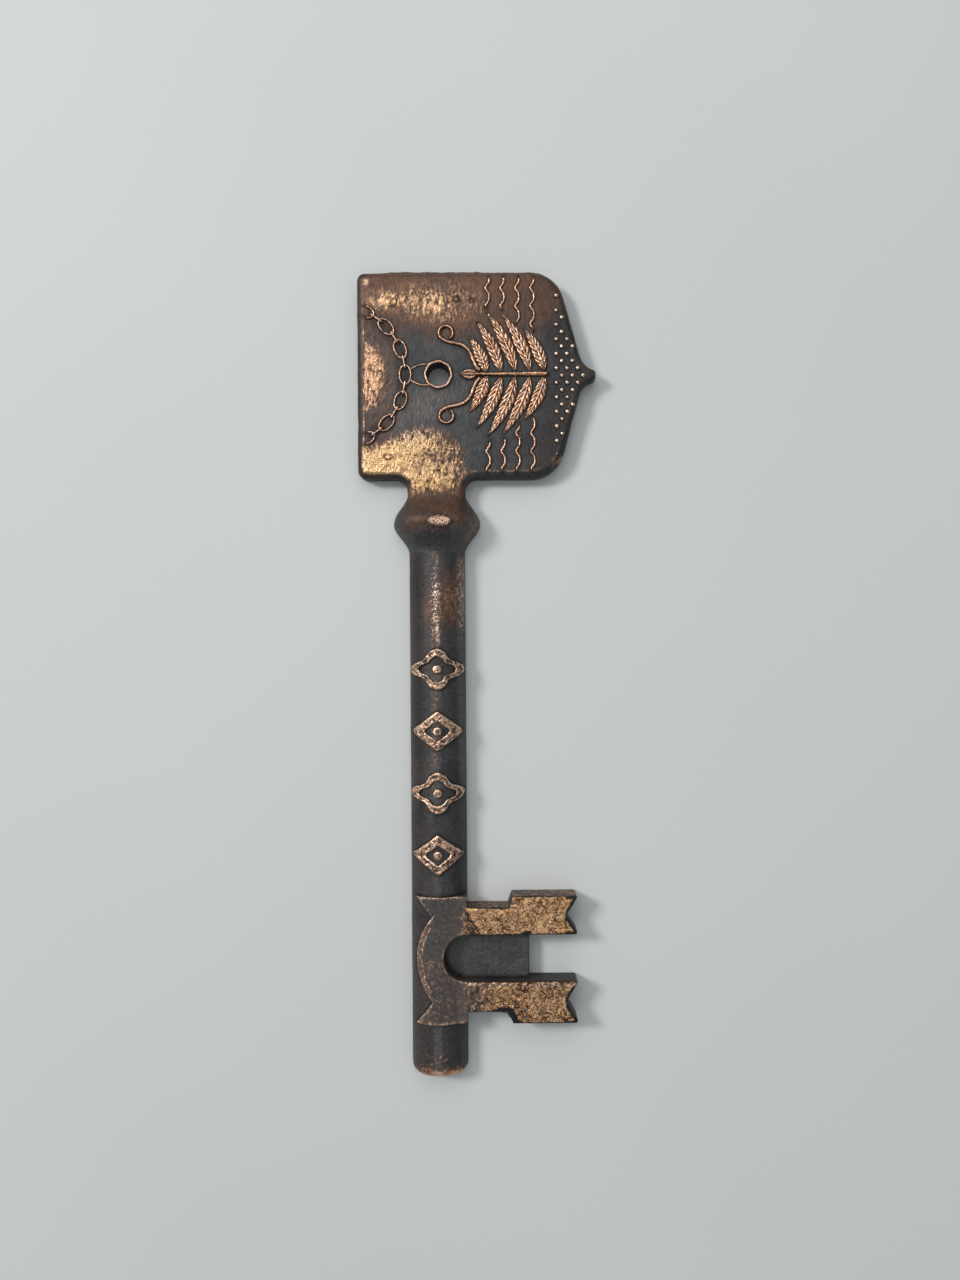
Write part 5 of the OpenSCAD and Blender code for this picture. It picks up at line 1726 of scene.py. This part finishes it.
def floor_shape(half):
    """The floor's points and triangles. It is open under the key, where only views from below look,
    so that light reaches the key's back, and whole under the hanging hole."""
    left, right = AXIS_X - SHANK_R, AXIS_X + SHANK_R
    shank = [(left, END_Y, 2), (right, END_Y, 2), (right, NECK_Y + 1, 0), (left, NECK_Y + 1, 0)]
    web = [(right - 4, BIT_Y - SLOT_R - 2, 0), (WEB_EDGE, BIT_Y - SLOT_R - 2, 0),
           (WEB_EDGE, BIT_Y + SLOT_R + 2, 0), (right - 4, BIT_Y + SLOT_R + 2, 0)]
    collar = [(left, SHANK_Y, 0), (right, SHANK_Y, 0), (AXIS_X + COLLAR_R - 0.6, CREST_Y, 0),
              (right, NECK_Y, 0), (left, NECK_Y, 0), (AXIS_X - COLLAR_R + 0.6, CREST_Y, 0)]
    wards = [ward_corners(*sizes) for _, _, *sizes in WARDS]
    openings = [rounded(corners, 1.3, 4) for corners in (bow_corners(), shank, collar, web, *wards)]
    spot = circle(HOLE_R + 1.5, 32)
    border = np.array([(-half, -half), (half, -half), (half, half), (-half, half)])
    _, points, tris = meshed((border, *openings, spot))
    middle = points[tris].mean(axis=1)
    keep = inside(middle, border) & ~np.any([inside(middle, loop) for loop in openings], axis=0)
    keep |= inside(middle, spot)
    return points, tris[keep].tolist()


def floor_material(tint):
    """A plain matt floor, faintly uneven in tone. Seen from below it lets the view through."""
    material = bpy.data.materials.new("Floor")
    material.use_nodes = True
    t = Nodes(material.node_tree)
    shader = t.tree.nodes["Principled BSDF"]
    tone = t.ranged(t.grain(t.place(), 5, 2), 0.3, 0.7, 0.985, 1.015)
    t.put(shader.inputs["Base Color"], t.tinted((*tint, 1), tone))
    t.put(shader.inputs["Roughness"], 0.75)
    back = t.add("NewGeometry").outputs["Backfacing"]
    clear = t.add("BsdfTransparent").outputs[0]
    either = t.add("MixShader", {0: back, 1: shader.outputs[0], 2: clear})
    t.put(t.tree.nodes["Material Output"].inputs["Surface"], either.outputs[0])
    return material


class KEY_OT_stage(bpy.types.Operator):
    """Build the floor, the lamps, the world and the camera"""

    bl_idname = "key.stage"
    bl_label = "Stage"

    def execute(self, context):
        scene = context.scene
        settings = scene.key_stage
        mesh = bpy.data.meshes.new("floor")
        points, faces = floor_shape(FLOOR_HALF)
        mesh.from_pydata([(x * MM, y * MM, -0.2 * MM) for x, y in points], [], faces)
        mesh.materials.append(floor_material(settings.floor))
        floor = bpy.data.objects.new("floor", mesh)
        scene.collection.objects.link(floor)

        for name, place, side, watts in (
                ("top_lamp", (-0.1, 0.55, 0.68), (0.85, 0.75), settings.top_power),
                ("side_lamp", (-1.29, 0.55, 1.24), (0.4, 0.4), settings.side_power)):
            lamp = bpy.data.lights.new(name, "AREA")
            lamp.shape = "RECTANGLE"
            lamp.size, lamp.size_y = side
            lamp.energy = watts
            lamp.color = (1.0, 0.985, 0.97)
            shown = bpy.data.objects.new(name, lamp)
            shown.location = place
            shown.rotation_euler = (LAMP_AIM - shown.location).to_track_quat("-Z", "Y").to_euler()
            scene.collection.objects.link(shown)

        scene.world = bpy.data.worlds.new("studio")
        scene.world.use_nodes = True
        t = Nodes(scene.world.node_tree)
        height = t.add("SeparateXYZ", {0: t.place("Generated")}).outputs["Z"]
        above, below = t.ranged(height, -0.1, 0.95, 0.22, 1.0), t.ranged(height, -0.15, -0.6, 0.0, 0.7)
        light = t.plus(above, below, clamp=True)
        background = t.tree.nodes["Background"].inputs
        t.put(background["Color"], t.mixed(light, (0, 0, 0, 1), (0.78, 0.80, 0.82, 1)))
        t.put(background["Strength"], 0.61)

        view = bpy.data.cameras.new("camera")
        view.lens = 27.2
        view.sensor_width = 36
        view.clip_start, view.clip_end = 0.005, 10
        camera = bpy.data.objects.new("camera", view)
        camera.location = (0.00991, -0.06596, 0.2448)
        camera.rotation_euler = (0, 0, math.radians(-0.4))
        scene.collection.objects.link(camera)
        scene.camera = camera
        scene.view_settings.view_transform = "Standard"
        return {"FINISHED"}


class KEY_PT_panel(bpy.types.Panel):
    """Sizes, colours and build steps of the key"""

    bl_label = "Souvenir key"
    bl_idname = "KEY_PT_panel"
    bl_space_type = "VIEW_3D"
    bl_region_type = "UI"
    bl_category = "Souvenir key"

    def draw(self, context):
        for group_name, _ in SETTINGS:
            settings, panel_box = getattr(context.scene, group_name), self.layout.box()
            for name in settings.__annotations__:
                panel_box.prop(settings, name)
        for step in STEPS:
            self.layout.operator(step.bl_idname)


STEPS = (KEY_OT_bow, KEY_OT_eyelet, KEY_OT_chain, KEY_OT_waves, KEY_OT_studs, KEY_OT_sprig,
         KEY_OT_collar, KEY_OT_shank, KEY_OT_ornaments, KEY_OT_bit, KEY_OT_stage)
SETTINGS = (("key_relief", KeyRelief), ("key_finish", KeyFinish), ("key_stage", KeyStage))


def register():
    """Add the settings, steps and panel."""
    for name, kind in SETTINGS:
        bpy.utils.register_class(kind)
        setattr(bpy.types.Scene, name, bpy.props.PointerProperty(type=kind))
    for kind in (*STEPS, KEY_PT_panel):
        bpy.utils.register_class(kind)


def unregister():
    """Take the panel, steps and settings away."""
    for kind in (KEY_PT_panel, *reversed(STEPS)):
        bpy.utils.unregister_class(kind)
    for name, kind in reversed(SETTINGS):
        delattr(bpy.types.Scene, name)
        bpy.utils.unregister_class(kind)


def main():
    """Build the whole key and its stage."""
    register()
    bpy.ops.key.bow()
    bpy.ops.key.eyelet()
    bpy.ops.key.chain()
    bpy.ops.key.waves()
    bpy.ops.key.studs()
    bpy.ops.key.sprig()
    bpy.ops.key.collar()
    bpy.ops.key.shank()
    bpy.ops.key.ornaments()
    bpy.ops.key.bit()
    bpy.ops.key.stage()
    bpy.context.view_layer.update()


if __name__ == "__main__":
    main()
